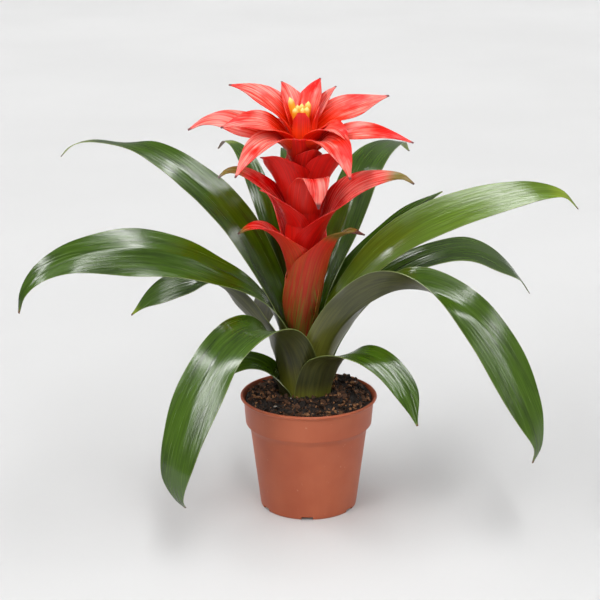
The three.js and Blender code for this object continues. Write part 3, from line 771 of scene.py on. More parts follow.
@dataclass(frozen=True)
class Weave:
    """How finely a blade is meshed, and how its margins and ribs are worked.

    Attributes:
        rows: steps from the foot to the tip.
        columns: steps from margin to margin.
        wave: height of the waved margins, as a share of the half width.
        ripples: waves along a margin.
        lag: how far the left margin's waves lag behind the right one's.
        rib: height of the fine lengthwise ribs.
        pitch: distance between ribs.
        plain_margin: share of the half width in which the ribs fade out at a margin.
        plain_foot: share of the length in which they fade in from the foot.
    """

    rows: int
    columns: int
    wave: float = 0.0
    ripples: float = 2.5
    lag: float = 0.37
    rib: float = 0.06
    pitch: float = 3.1
    plain_margin: float = 0.15
    plain_foot: float = 0.2


LEAF_WEAVE = Weave(rows=84, columns=32, wave=0.05)
BRACT_WEAVE = Weave(rows=34, columns=20, rib=0.08, pitch=3.4)
MOST_BEND = math.radians(95)
FLATTEST = 0.01
CREASE_START = (0.08, 0.3)


class Sweep:
    """One blade laid out in rows from its foot to its tip and columns from margin to margin."""

    def __init__(self, blade: Blade, weave: Weave, seed: float) -> None:
        """Reads the blade's own sizes at every row.

        Args:
            blade: the blade's own sizes.
            weave: how finely it is meshed.
            seed: sets its ribs apart from other blades'.
        """
        self.blade = blade
        self.weave = weave
        self.seed = seed
        self.t = np.linspace(0, 1, weave.rows + 1)
        self.u = np.linspace(-1, 1, weave.columns + 1)[None, :]
        self.place, self.way, self.length = midrib(blade.spine, self.t)
        self.half = along(blade.width, self.t)[:, None]

    def axes(self) -> tuple[np.ndarray, np.ndarray]:
        """The ways to the blade's right and up from it.

        Returns:
            Both as one direction for each row.
        """
        roll = np.radians(along(self.blade.roll, self.t))[:, None, None]
        side = np.zeros((len(self.t), 1, 3))
        side[:, 0, 1] = 1
        normal = np.stack([-self.way[:, 1], np.zeros(len(self.t)), self.way[:, 0]], 1)[:, None, :]
        return side * np.cos(roll) + normal * np.sin(roll), normal * np.cos(roll) - side * np.sin(roll)

    def bend(self) -> np.ndarray:
        """Half angle of the channel, at least what wraps a steep foot round the axis.

        Returns:
            The angle at each row, in radians.
        """
        wrap = self.half[:, 0] * np.maximum(self.way[:, 1], 0) / np.maximum(self.place[:, 0], 1)
        cup = np.radians(along(self.blade.cup, self.t))
        return np.maximum(np.maximum(np.minimum(wrap, MOST_BEND), cup), FLATTEST)[:, None]

    def waves(self) -> np.ndarray:
        """How far the waved margins lift the blade.

        Returns:
            The height at each row and column.
        """
        phase = self.weave.ripples * self.t[:, None] + np.where(self.u < 0, self.weave.lag, 0)
        ripple = np.sin(2 * math.pi * phase) * np.sin(math.pi * self.t)[:, None]
        return self.weave.wave * self.half * self.u * self.u * ripple

    def ribs(self) -> np.ndarray:
        """How far the fine ribs lift the blade.

        Returns:
            The height at each row and column.
        """
        inside = smooth(1 - np.abs(self.u), 0, self.weave.plain_margin)
        ribs = np.sin(2 * math.pi * self.u * self.half / self.weave.pitch + self.seed) * inside
        return self.weave.rib * ribs * smooth(self.t, 0, self.weave.plain_foot)[:, None]

    def rings(self) -> np.ndarray:
        """The blade's section at each row, in its own upright plane.

        Returns:
            The points of each row: the upper side from left to right, then the lower side back.
        """
        right, up = self.axes()
        bend = self.bend()
        crease = np.radians(along(self.blade.fold, self.t)) * smooth(self.t, *CREASE_START)
        crease = crease[:, None]
        a, sign = np.abs(self.u), np.sign(self.u)
        slope = crease + bend * a
        across = sign * self.half * (np.sin(slope) - np.sin(crease)) / bend
        lift = self.half * (np.cos(crease) - np.cos(slope)) / bend + self.waves() + self.ribs()
        core = np.stack([self.place[:, 0], np.zeros(len(self.t)), self.place[:, 1]], 1)[:, None, :]
        middle = core + right * across[..., None] + up * lift[..., None]
        facing = up * np.cos(slope)[..., None] - right * (sign * np.sin(slope))[..., None]
        facing = np.where((a == 0)[..., None], up / np.cos(crease)[..., None], facing)
        thick = (self.blade.thick + (self.blade.edge - self.blade.thick) * a)[..., None] / 2
        upper, lower = middle + facing * thick, middle - facing * thick
        return np.concatenate([upper, lower[:, ::-1]], 1)

    def points(self) -> np.ndarray:
        """The blade where it stands on the plant.

        Returns:
            Its points, in millimetres.
        """
        ring = self.rings()
        angle = np.radians(self.blade.turn + along(self.blade.swing, self.t))[:, None]
        x = self.blade.axis[0] + ring[..., 0] * np.cos(angle) - ring[..., 1] * np.sin(angle)
        y = self.blade.axis[1] + ring[..., 0] * np.sin(angle) + ring[..., 1] * np.cos(angle)
        return np.stack([x, y, ring[..., 2]], -1).reshape(-1, 3)


def add_blade(shape: Shape, blade: Blade, weave: Weave, look: Look, seed: float) -> None:
    """Adds a blade to a piece: its upper side, its lower side and the thin margins between.

    Args:
        shape: the piece that it belongs to.
        blade: the blade's own sizes.
        weave: how finely it is meshed.
        look: what its finish reads from its points.
        seed: sets its streaks apart from other blades'.
    """
    sweep = Sweep(blade, weave, seed)
    size = 2 * (weave.columns + 1)
    flat = np.broadcast_to(sweep.u, (weave.rows + 1, weave.columns + 1))
    width = np.broadcast_to(sweep.half, flat.shape)
    mirror = np.concatenate([flat, flat[:, ::-1]], 1)
    under = np.concatenate([np.zeros(weave.columns + 1), np.ones(weave.columns + 1)])
    shape.add(
        sweep.points(), ring_faces(weave.rows, size),
        across=np.abs(mirror).ravel(),
        rib=(mirror * np.concatenate([width, width], 1)).ravel(),
        run=np.repeat(sweep.t * sweep.length, size),
        along=np.repeat(sweep.t, size),
        under=np.tile(under, weave.rows + 1),
        seed=seed, foot=look.foot, tip=look.tip, dry=look.dry, streak=look.streak,
        glow=look.glow,
    )


def ring_faces(rows: int, size: int) -> np.ndarray:
    """Faces of a tube of equal rings with flat closed ends.

    Args:
        rows: steps between rings.
        size: points in a ring, upper side first and lower side back.

    Returns:
        The faces, pointing out.
    """
    here = np.arange(size)
    after = (here + 1) % size
    faces = []
    for row in range(rows):
        a = row * size
        faces.append(np.stack([a + here, a + size + here, a + size + after, a + after], 1))
    for i in range(size // 2 - 1):
        j = size - 1 - i
        tip = rows * size
        faces.append(np.array([[i, i + 1, j - 1, j]]))
        faces.append(np.array([[tip + i, tip + j, tip + j - 1, tip + i + 1]]))
    return np.vstack(faces)


# ------------------------------------------------------------------------------ finishes


class Wiring:
    """Lays out the nodes of one node tree."""

    def __init__(self, tree: bpy.types.NodeTree) -> None:
        """Takes the tree to work on.

        Args:
            tree: the node tree.
        """
        self.tree = tree

    def node(self, kind: str, **inputs: object) -> bpy.types.Node:
        """Adds a node and fills its sockets by name.

        Args:
            kind: the node's type.
            inputs: a value or a socket for each named input.

        Returns:
            The node.
        """
        made = self.tree.nodes.new(kind)
        for name, value in inputs.items():
            self.feed(made.inputs[name.replace("_", " ")], value)
        return made

    def feed(self, socket: Socket, value: object) -> None:
        """Sets a socket, or links another one to it.

        Args:
            socket: the input.
            value: a plain value or an output socket.
        """
        if isinstance(value, Socket):
            self.tree.links.new(value, socket)
        else:
            socket.default_value = value

    def sum(self, kind: str, first: object, second: object = 0.0, third: object = 0.0) -> Socket:
        """The result of one arithmetic step.

        Args:
            kind: the operation.
            first: its first operand.
            second: its second operand.
            third: its third operand.

        Returns:
            The result.
        """
        made = self.tree.nodes.new("ShaderNodeMath")
        made.operation = kind
        for socket, value in zip(made.inputs, (first, second, third)):
            self.feed(socket, value)
        return made.outputs[0]

    def step(self, value: object, low: object, high: object, top: object = 1.0) -> Socket:
        """A soft step.

        Args:
            value: what to test.
            low: where the step starts.
            high: where it ends.
            top: how high it goes.

        Returns:
            0 below low and top above high.
        """
        made = self.tree.nodes.new("ShaderNodeMapRange")
        made.interpolation_type = "SMOOTHSTEP"
        for name, item in (("Value", value), ("From Min", low), ("From Max", high), ("To Max", top)):
            self.feed(made.inputs[name], item)
        return made.outputs["Result"]

    def between(self, value: object, low: float, high: float, soft: float) -> Socket:
        """A soft-edged band.

        Args:
            value: what to test.
            low: where the band starts.
            high: where it ends.
            soft: how wide its edges are.

        Returns:
            1 inside the band and 0 outside it.
        """
        rise = self.step(value, low - soft, low + soft)
        return self.sum("SUBTRACT", rise, self.step(value, high - soft, high + soft))

    def mix(self, share: object, first: object, second: object, kind: str = "MIX") -> Socket:
        """One colour laid over another.

        Args:
            share: how much of the second shows.
            first: the colour below.
            second: the colour on top.
            kind: how they blend.

        Returns:
            The mixed colour.
        """
        made = self.tree.nodes.new("ShaderNodeMix")
        made.data_type = "RGBA"
        made.blend_type = kind
        for place, value in zip(MIX_COLOUR_INPUTS, (share, first, second)):
            self.feed(made.inputs[place], value)
        return made.outputs[MIX_COLOUR_OUTPUT]

    def speckle(self, vector: object, scale: float, detail: float = 3.0) -> Socket:
        """A cloud of soft random values.

        Args:
            vector: where to read it.
            scale: how fine it is.
            detail: how many finer layers it has.

        Returns:
            A value near 0.5.
        """
        made = self.node("ShaderNodeTexNoise", Vector=vector, Scale=scale, Detail=detail,
                         Roughness=CLOUD_ROUGHNESS)
        return made.outputs["Fac"]

    def position(self) -> Socket:
        """The point's own place, in metres."""
        return self.tree.nodes.new("ShaderNodeTexCoord").outputs["Object"]


class Paint(Wiring):
    """Lays out one material."""

    def __init__(self, name: str) -> None:
        """Starts a material with a single shader.

        Args:
            name: the material's name.
        """
        self.material = bpy.data.materials.new(name)
        self.material.use_nodes = True
        super().__init__(self.material.node_tree)
        self.shader = self.tree.nodes["Principled BSDF"]

    def point(self, name: str) -> Socket:
        """A value that the mesh holds at its points.

        Args:
            name: what the mesh calls it.

        Returns:
            The value.
        """
        made = self.tree.nodes.new("ShaderNodeAttribute")
        made.attribute_name = name
        return made.outputs["Fac"]

    def grain(self, grain: Grain, offset: float) -> Socket:
        """Streaks that run along a blade.

        Args:
            grain: how fine and how long they are.
            offset: sets them apart from other streaks on the same blade.

        Returns:
            A value near 0.5.
        """
        wide, long = grain.value
        place = self.node("ShaderNodeCombineXYZ")
        self.feed(place.inputs[0], self.sum("MULTIPLY", self.point("rib"), wide))
        self.feed(place.inputs[1], self.sum("MULTIPLY", self.point("run"), long))
        self.feed(place.inputs[2], self.sum("ADD", self.point("seed"), offset))
        return self.speckle(place.outputs[0], 1.0)

    def bump(self, height: Socket, depth: float, strength: float = 1.0) -> None:
        """Roughens the surface.

        Args:
            height: the relief, from 0 to 1.
            depth: its depth in metres.
            strength: how much of it is used.
        """
        made = self.node("ShaderNodeBump", Strength=strength, Distance=depth, Height=height)
        self.feed(self.shader.inputs["Normal"], made.outputs["Normal"])

    def gloss(self, **settings: object) -> None:
        """Sets the shader's own sockets by name."""
        for name, value in settings.items():
            self.feed(self.shader.inputs[name.replace("_", " ")], value)


@dataclass(frozen=True, kw_only=True)
class BladeFinish:
    """What the finishes of leaves and bracts share: the two end colours, the veins and the gloss.

    Attributes:
        name: the material's name.
        tip: colour of the live tip.
        dry: colour of the dead point.
        tip_fade: how far the tip's colour takes to come in, as a share of the blade.
        tip_share: how much of it shows.
        dry_fade: how far the dead point's colour takes to come in.
        dry_share: how much of it shows.
        vein_span: the vein values between which the colour goes from shaded to plain.
        vein_shade: what the colour is multiplied by in a vein.
        rough: roughness of the gloss.
        vein_rough: what the plain parts between veins add to it.
        streak_span: the streak values between which a streak's roughness comes in.
        streak_rough: what a streak adds to it.
        under_rough: what the lower side adds to it.
        level: strength of the gloss.
        streak_relief: height of the streaks next to that of the veins.
        relief: depth of the relief in metres.
        relief_share: how much of the relief is used.
    """

    name: str
    tip: str
    dry: str
    tip_fade: float
    tip_share: float
    dry_fade: float
    dry_share: float
    vein_span: Span = (0.3, 0.7)
    vein_shade: str
    rough: float
    vein_rough: float
    streak_span: Span = (0.45, 0.62)
    streak_rough: float = 0.0
    under_rough: float = 0.2
    level: float
    streak_relief: float
    relief: float
    relief_share: float

    def ends(self, paint: Paint, colour: Socket) -> Socket:
        """Lays the live tip and the dead point over a blade's colour.

        Args:
            paint: the material.
            colour: the colour below.

        Returns:
            The colour with both ends.
        """
        run = paint.point("along")
        for start, fade, share, over in (("tip", self.tip_fade, self.tip_share, self.tip),
                                         ("dry", self.dry_fade, self.dry_share, self.dry)):
            end = paint.sum("ADD", paint.point(start), fade)
            colour = paint.mix(paint.step(run, paint.point(start), end, share), colour, linear(over))
        return colour

    def surface(self, paint: Paint, colour: Socket, vein: Socket, streak: Socket) -> None:
        """Shades the veins, then sets the gloss and the relief.

        Args:
            paint: the material.
            colour: the blade's colour.
            vein: the veins' own values.
            streak: the streaks' own values.
        """
        plain = paint.step(vein, *self.vein_span)
        shade = paint.mix(plain, linear(self.vein_shade), linear(WHITE))
        rough = paint.sum("MULTIPLY_ADD", plain, self.vein_rough, self.rough)
        if self.streak_rough:
            rough = paint.sum("ADD", rough, paint.step(streak, *self.streak_span, self.streak_rough))
        rough = paint.sum("MULTIPLY_ADD", paint.point("under"), self.under_rough, rough)
        paint.gloss(Base_Color=paint.mix(1.0, colour, shade, "MULTIPLY"), Roughness=rough,
                    Specular_IOR_Level=self.level)
        height = paint.sum("MULTIPLY_ADD", streak, self.streak_relief, vein)
        paint.bump(height, self.relief, self.relief_share)


@dataclass(frozen=True, kw_only=True)
class LeafFinish(BladeFinish):
    """Glossy green strap leaf with fine veins and a grey-olive underside."""

    name: str = "leaf_gloss"
    dark: str = "2c4402"
    mid: str = "3c5a04"
    light: str = "52700e"
    fresh: str = "769426"
    under: str = "4c4e20"
    under_dark: str = "343610"
    foot: str = "9ea624"
    foot_under: str = "84842c"
    margin: str = "98a562"
    tip: str = "8ea226"
    dry: str = "6b4a2c"
    offsets: Triple = (0.0, 3.1, 7.7)
    band_span: Span = (0.3, 0.6)
    light_span: Span = (0.45, 0.8)
    light_share: float = 0.5
    fresh_span: Span = (0.2, 1.0)
    under_span: Span = (0.35, 0.65)
    foot_start: float = 0.02
    margin_span: Span = (0.965, 0.995)
    margin_share: float = 0.5
    tip_fade: float = 0.06
    tip_share: float = 0.8
    dry_fade: float = 0.012
    dry_share: float = 1.0
    vein_shade: str = "d2d2d2"
    rough: float = 0.11
    vein_rough: float = 0.05
    streak_rough: float = 0.12
    level: float = 0.65
    streak_relief: float = 0.7
    relief: float = 0.00035
    relief_share: float = 0.35

    def material(self) -> bpy.types.Material:
        """Makes the material.

        Returns:
            The material, which reads the blades' point values.
        """
        paint = Paint(self.name)
        vein, streak, band = (
            paint.grain(grain, offset)
            for grain, offset in zip((Grain.VEIN, Grain.STREAK, Grain.BAND), self.offsets)
        )
        upper = paint.mix(paint.step(band, *self.band_span), linear(self.dark), linear(self.mid))
        bright = paint.step(streak, *self.light_span, self.light_share)
        upper = paint.mix(bright, upper, linear(self.light))
        upper = paint.mix(paint.step(paint.point("glow"), *self.fresh_span), upper, linear(self.fresh))
        pale = paint.step(streak, *self.under_span)
        lower = paint.mix(pale, linear(self.under_dark), linear(self.under))
        above = paint.step(paint.point("along"), self.foot_start, paint.point("foot"))
        near_foot = paint.sum("SUBTRACT", 1.0, above)
        upper = paint.mix(near_foot, upper, linear(self.foot))
        lower = paint.mix(near_foot, lower, linear(self.foot_under))
        colour = paint.mix(paint.point("under"), upper, lower)
        at_margin = paint.step(paint.point("across"), *self.margin_span, self.margin_share)
        colour = paint.mix(at_margin, colour, linear(self.margin))
        self.surface(paint, self.ends(paint, colour), vein, streak)
        return paint.material


@dataclass(frozen=True, kw_only=True)
class BractFinish(BladeFinish):
    """Glossy scarlet bract with pale lengthwise streaks of painted sheen, orange inwards and dark at the
    point.
    """

    name: str = "bract_gloss"
    deep: str = "e60804"
    red: str = "f00c06"
    orange: str = "fa4408"
    # pale pink of the painted sheen: lengthwise streaks of painted highlight on the upper sides
    pale: str = "ffa294"
    under: str = "cc180c"
    foot: str = "5e6420"
    foot_red: str = "8c3018"
    tip: str = "66702c"
    dry: str = "4a2a30"
    offsets: tuple[float, float, float, float] = (1.3, 4.9, 2.2, 6.4)
    band_span: Span = (0.34, 0.6)
    under_share: float = 0.6
    warm_span: Span = (0.25, 0.85)
    # the painted sheen: where its streaks come in, its patches, its run along the blade and how much less
    # it shows on the lower side
    sheen_span: Span = (0.28, 0.7)
    sheen_patch_span: Span = (0.34, 0.56)
    sheen_run: Span = (0.25, 0.55)
    under_sheen: float = -0.9
    foot_span: Span = (0.4, 0.62)
    tip_fade: float = 0.1
    tip_share: float = 0.9
    dry_fade: float = 0.03
    dry_share: float = 0.9
    vein_shade: str = "dcd0d0"
    rough: float = 0.24
    vein_rough: float = 0.08
    level: float = 0.3
    streak_relief: float = 0.6
    relief: float = 0.0003
    relief_share: float = 0.5
    flesh: float = 0.3
    flesh_depth: float = 0.004
    flesh_reach: Triple = (1, 0.12, 0.06)

    def streaks(self, paint: Paint, streak: Socket, patch: Socket) -> Socket:
        """How much the pale streaks of painted sheen show.

        Args:
            paint: the material.
            streak: the streaks' own values.
            patch: the values that break the streaks into patches.

        Returns:
            The share of painted highlight, less on the lower side and near the foot.
        """
        pale = paint.step(streak, *self.sheen_span)
        for part in (paint.step(patch, *self.sheen_patch_span),
                     paint.step(paint.point("along"), *self.sheen_run),
                     paint.point("streak"),
                     paint.sum("MULTIPLY_ADD", paint.point("under"), self.under_sheen, 1.0)):
            pale = paint.sum("MULTIPLY", pale, part)
        return pale

    def material(self) -> bpy.types.Material:
        """Makes the material.

        Returns:
            The material, which reads the blades' point values.
        """
        paint = Paint(self.name)
        vein, streak, band, patch = (
            paint.grain(grain, offset)
            for grain, offset in zip((Grain.VEIN, Grain.STREAK, Grain.BAND, Grain.PATCH), self.offsets)
        )
        run = paint.point("along")
        colour = paint.mix(paint.step(band, *self.band_span), linear(self.deep), linear(self.red))
        dull = paint.sum("MULTIPLY", paint.point("under"), self.under_share)
        colour = paint.mix(dull, colour, linear(self.under))
        inward = paint.sum("SUBTRACT", 1.0, paint.step(run, *self.warm_span))
        warm = paint.sum("MULTIPLY", inward, paint.point("glow"))
        colour = paint.mix(warm, colour, linear(self.orange))
        # painted sheen: pale pink streaks on the upper sides stand in for highlights
        colour = paint.mix(self.streaks(paint, streak, patch), colour, linear(self.pale))
        base = paint.mix(paint.step(streak, *self.foot_span), linear(self.foot), linear(self.foot_red))
        near_foot = paint.sum("SUBTRACT", 1.0, paint.step(run, 0.0, paint.point("foot")))
        colour = self.ends(paint, paint.mix(near_foot, colour, base))
        self.surface(paint, colour, vein, streak)
        paint.gloss(Subsurface_Weight=self.flesh, Subsurface_Scale=self.flesh_depth,
                    Subsurface_Radius=self.flesh_reach)
        return paint.material


@dataclass(frozen=True)
class FloretFinish:
    """Waxy yellow floret, orange at its foot and pale at its tip."""

    name: str = "floret_wax"
    foot: str = "e8520a"
    body: str = "f0a018"
    tip: str = "f8dc80"
    body_span: Span = (0.3, 0.62)
    tip_span: Span = (0.72, 0.97)
    cloud: float = 900.0
    cloud_span: Span = (0.55, 0.8)
    cloud_share: float = 0.35
    rough: float = 0.38
    relief: float = 0.0002
    relief_share: float = 0.4

    def material(self) -> bpy.types.Material:
        """Makes the material.

        Returns:
            The material, which reads how far along each floret a point is.
        """
        paint = Paint(self.name)
        run = paint.point("along")
        cloud = paint.speckle(paint.position(), self.cloud)
        colour = paint.mix(paint.step(run, *self.body_span), linear(self.foot), linear(self.body))
        colour = paint.mix(paint.step(run, *self.tip_span), colour, linear(self.tip))
        warm = paint.step(cloud, *self.cloud_span, self.cloud_share)
        paint.gloss(Base_Color=paint.mix(warm, colour, linear(self.foot)), Roughness=self.rough)
        paint.bump(cloud, self.relief, self.relief_share)
        return paint.material


@dataclass(frozen=True)
class CrownFinish:
    """Dull pale green crown with fibres that run up it."""

    name: str = "crown_fibre"
    light: str = "8c9444"
    dark: str = "4e5420"
    stretch: Triple = (1, 1, 0.12)
    fibre: float = 700.0
    detail: float = 5.0
    fibre_span: Span = (0.35, 0.65)
    rough: float = 0.6
    relief: float = 0.0005
    relief_share: float = 0.7

    def material(self) -> bpy.types.Material:
        """Makes the material.

        Returns:
            The material.
        """
        paint = Paint(self.name)
        upright = paint.node("ShaderNodeMapping", Vector=paint.position(), Scale=self.stretch)
        fibre = paint.speckle(upright.outputs[0], self.fibre, self.detail)
        colour = paint.mix(paint.step(fibre, *self.fibre_span), linear(self.dark), linear(self.light))
        paint.gloss(Base_Color=colour, Roughness=self.rough)
        paint.bump(fibre, self.relief, self.relief_share)
        return paint.material


@dataclass(frozen=True)
class PotFinish:
    """Moulded terracotta-coloured plastic with a low sheen, faint dust and scuffs, and painted shade on the
    inner wall.
    """

    name: str = "pot_plastic"
    body: str = "a24c2b"
    light: str = "ae5937"
    dust: str = "c79478"
    # darker colour of the inner wall: painted shade
    inside: str = "7c3a26"
    cloud: float = 22.0
    cloud_span: Span = (0.3, 0.7)
    grit: tuple[float, float] = (1600.0, 2.0)   # fineness and detail
    stretch: Triple = (1, 1, 0.05)
    drawn: float = 160.0
    drawn_span: Span = (0.5, 0.8)
    drawn_share: float = 0.25
    scuff: tuple[float, float] = (240.0, 6.0)   # fineness and detail
    scuff_span: Span = (0.66, 0.74)
    scuff_share: float = 0.4
    inside_shade_share: float = 0.8   # how much of the darker inside colour, a painted shade on the inner wall, shows
    rough: float = 0.38
    cloud_rough: float = 0.16
    scuff_rough_span: Span = (0.6, 0.75)
    scuff_rough: float = 0.15
    level: float = 0.5
    drawn_relief: float = 0.5
    relief: float = 0.00006
    relief_share: float = 0.5

    def material(self) -> bpy.types.Material:
        """Makes the material.

        Returns:
            The material, which reads which points are inside the wall.
        """
        paint = Paint(self.name)
        place = paint.position()
        cloud = paint.speckle(place, self.cloud)
        grit = paint.speckle(place, *self.grit)
        upright = paint.node("ShaderNodeMapping", Vector=place, Scale=self.stretch)
        drawn = paint.speckle(upright.outputs[0], self.drawn)
        scuff = paint.speckle(place, *self.scuff)
        colour = paint.mix(paint.step(cloud, *self.cloud_span), linear(self.body), linear(self.light))
        lines = paint.step(drawn, *self.drawn_span, self.drawn_share)
        colour = paint.mix(lines, colour, linear(self.body))
        dusty = paint.step(scuff, *self.scuff_span, self.scuff_share)
        colour = paint.mix(dusty, colour, linear(self.dust))
        # painted shade: the inner wall is darkened
        shaded_inside = paint.sum("MULTIPLY", paint.point("inside"), self.inside_shade_share)
        colour = paint.mix(shaded_inside, colour, linear(self.inside))
        rough = paint.sum("MULTIPLY_ADD", cloud, self.cloud_rough, self.rough)
        worn = paint.step(scuff, *self.scuff_rough_span)
        rough = paint.sum("MULTIPLY_ADD", worn, self.scuff_rough, rough)
        paint.gloss(Base_Color=colour, Roughness=rough, Specular_IOR_Level=self.level)
        height = paint.sum("MULTIPLY_ADD", drawn, self.drawn_relief, grit)
        paint.bump(height, self.relief, self.relief_share)
        return paint.material


@dataclass(frozen=True)
class SoilFinish:
    """Moist dark peat with bark from nearly black to orange-brown and a few white grains."""

    name: str = "bark_soil"
    peat: str = "1e140d"
    bark: str = "5c3a22"
    fresh: str = "b07a4e"
    white: str = "d8d2c8"
    # the tones between which bark, fresh bark and white come in
    tones: tuple[Span, Span, Span] = ((0.15, 0.55), (0.6, 0.85), (0.92, 0.94))
    grit: tuple[float, float] = (700.0, 6.0)   # fineness and detail
    grit_span: Span = (0.45, 0.75)
    grit_share: float = 0.7
    cloud: float = 160.0
    cloud_span: Span = (0.6, 0.8)
    cloud_share: float = 0.4
    rough: float = 0.42
    grit_rough: float = 0.5
    relief: float = 0.0012
    relief_share: float = 0.9

    def material(self) -> bpy.types.Material:
        """Makes the material.

        Returns:
            The material, which reads each bit's own tone.
        """
        paint = Paint(self.name)
        place = paint.position()
        tone = paint.point("tone")
        grit = paint.speckle(place, *self.grit)
        cloud = paint.speckle(place, self.cloud)
        colour = linear(self.peat)
        for span, over in zip(self.tones, (self.bark, self.fresh, self.white)):
            colour = paint.mix(paint.step(tone, *span), colour, linear(over))
        clinging = paint.step(grit, *self.grit_span, self.grit_share)
        colour = paint.mix(clinging, colour, linear(self.peat))
        dusty = paint.step(cloud, *self.cloud_span, self.cloud_share)
        colour = paint.mix(dusty, colour, linear(self.bark))
        rough = paint.sum("MULTIPLY_ADD", grit, self.grit_rough, self.rough)
        paint.gloss(Base_Color=colour, Roughness=rough)
        paint.bump(grit, self.relief, self.relief_share)
        return paint.material


@dataclass(frozen=True)
class FloorFinish:
    """Plain pale grey studio floor."""

    name: str = "studio_floor"
    light: str = "cecece"
    dark: str = "c9c9c9"
    cloud: float = 1.3
    cloud_span: Span = (0.3, 0.7)
    rough: float = 0.6
    level: float = 0.25

    def material(self) -> bpy.types.Material:
        """Makes the material.

        Returns:
            The material.
        """
        paint = Paint(self.name)
        cloud = paint.speckle(paint.position(), self.cloud)
        colour = paint.mix(paint.step(cloud, *self.cloud_span), linear(self.dark), linear(self.light))
        paint.gloss(Base_Color=colour, Roughness=self.rough, Specular_IOR_Level=self.level)
        return paint.material


# ------------------------------------------------------------------------------ pot and soil


@dataclass
class Pot:
    """The grower pot: a thin tapered wall with a collar, a rolled lip and drain notches."""

    height: float = 102
    foot_radius: float = 42.4
    foot_corner: float = 1.2
    foot_ring: Place = (0.4, 0.6)   # a ring above the notches, out and up from them
    body_top: Place = (51.3, 72)
    collar_foot: Place = (55.4, 77.5)
    collar_top: Place = (57, 97.2)
    # points of the rounded wall under the collar, from body_top, and of the crisp step, from collar_foot
    shoulder: Points = ((-0.1, -1.6), (0.2, -0.3), (1.0, 1.2), (2.6, 3.7))
    collar_step: Points = ((-0.75, -0.75), (-0.2, -0.7), (0, -0.4), (0.12, 0.8))
    neck: Points = ((-0.05, -0.8), (0.4, 0.9))   # under the lip, from collar_top
    mouth_radius: float = 57.9
    mouth: Place = (0.4, 1.2)   # where the lip turns down, in and down from its top
    lip_radius: float = 60
    lip_thick: float = 2.6
    # how far past its lowest point the lip's roll starts, and past its highest it ends, in radians
    lip_turn: Span = (0.2, 0.5)
    wall: float = 1.5
    floor: float = 1.8
    floor_corner: float = 1.2
    near_wall: float = 0.3   # how near the inner wall a point counts as inside
    notches: int = 6
    notch: Triple = (6, 10, 2.6)   # depth, width and height
    notch_turn: float = -92
    corner_steps: int = 5
    lip_steps: int = 12
    sides: int = 160

    def inside(self, height: float) -> float:
        """Inner radius of the wall at a height.

        Args:
            height: the height above the foot.

        Returns:
            The radius.
        """
        outline = ((self.foot_radius, 0), self.body_top, self.collar_foot, self.collar_top)
        radii, heights = zip(*outline)
        return float(np.interp(height, heights, radii)) - self.wall

    def foot_edge(self) -> list[Place]:
        """The rounded edge of the foot.

        Returns:
            Its points, from the underside up.
        """
        turns = np.linspace(0, math.pi / 2, self.corner_steps)
        start, corner = self.foot_radius, self.foot_corner
        return [(start - corner * (1 - math.sin(a)), corner * (1 - math.cos(a))) for a in turns]

    def bead(self) -> list[Place]:
        """The rolled lip.

        Returns:
            Its points, from below on the outside over the top.
        """
        roll = self.lip_thick / 2
        middle = (self.lip_radius - roll, self.height - roll)
        start, end = -math.pi / 2 + self.lip_turn[0], math.pi / 2 + self.lip_turn[1]
        turns = np.linspace(start, end, self.lip_steps)
        return [(middle[0] + roll * math.cos(a), middle[1] + roll * math.sin(a)) for a in turns]

    def lining(self) -> list[Place]:
        """The inner wall, from the lip down to the floor.

        Returns:
            Its points.
        """
        heights = (self.collar_top[1], self.collar_foot[1], self.body_top[1])
        foot, corner = self.inside(self.floor), self.floor_corner
        return [
            (self.mouth_radius - self.mouth[0], self.height - self.mouth[1]),
            *((self.inside(z), z) for z in heights),
            (foot, self.floor + corner), (foot - corner, self.floor),
        ]

    def profile(self) -> Points:
        """The wall's outline, from the middle of the underside round the lip to the floor.

        Returns:
            Its points.
        """
        ring = (self.foot_radius + self.foot_ring[0], self.notch[2] + self.foot_ring[1])
        outer = [
            (base[0] + out, base[1] + up)
            for base, offsets in ((self.body_top, self.shoulder), (self.collar_foot, self.collar_step),
                                  (self.collar_top, self.neck))
            for out, up in offsets
        ]
        return ((0, 0), *self.foot_edge(), ring, *outer, *self.bead(), *self.lining(), (0, self.floor))

    def build(self) -> bpy.types.Mesh:
        """Turns the wall and cuts the drain notches.

        Returns:
            The pot's mesh, in metres.
        """
        points, faces = lathe(self.profile(), self.sides)
        radius = np.hypot(points[:, 0], points[:, 1])
        wall = np.array([self.inside(z) for z in points[:, 2]])
        shape = Shape()
        inner = (radius < wall + self.near_wall) & (points[:, 2] > self.floor / 2)
        shape.add(points, faces, inside=inner.astype(float))
        body = bpy.data.objects.new("pot_body", shape.mesh("pot_body"))
        cutter = bpy.data.objects.new("pot_notches", self.notch_boxes())
        for item in (body, cutter):
            bpy.context.scene.collection.objects.link(item)
        cut = body.modifiers.new("notches", "BOOLEAN")
        cut.operation = "DIFFERENCE"
        cut.solver = "EXACT"
        cut.object = cutter
        ready = body.evaluated_get(bpy.context.evaluated_depsgraph_get())
        mesh = bpy.data.meshes.new_from_object(ready)
        mesh.name = "pot"
        for item in (body, cutter):
            bpy.data.objects.remove(item)
        return mesh

    def notch_boxes(self) -> bpy.types.Mesh:
        """Boxes that cut the drain notches out of the foot's edge.

        Returns:
            Their mesh, in metres.
        """
        deep, wide, high = self.notch
        box = bmesh.new()
        for i in range(self.notches):
            turn = Matrix.Rotation(math.radians(self.notch_turn + 360 * i / self.notches), 4, "Z")
            size = Matrix.Diagonal((2 * deep * MM, wide * MM, 2 * high * MM, 1))
            shift = Matrix.Translation((self.foot_radius * MM, 0, 0))
            bmesh.ops.create_cube(box, size=1, matrix=turn @ shift @ size)
        mesh = bpy.data.meshes.new("pot_notches")
        box.to_mesh(mesh)
        box.free()
        return mesh

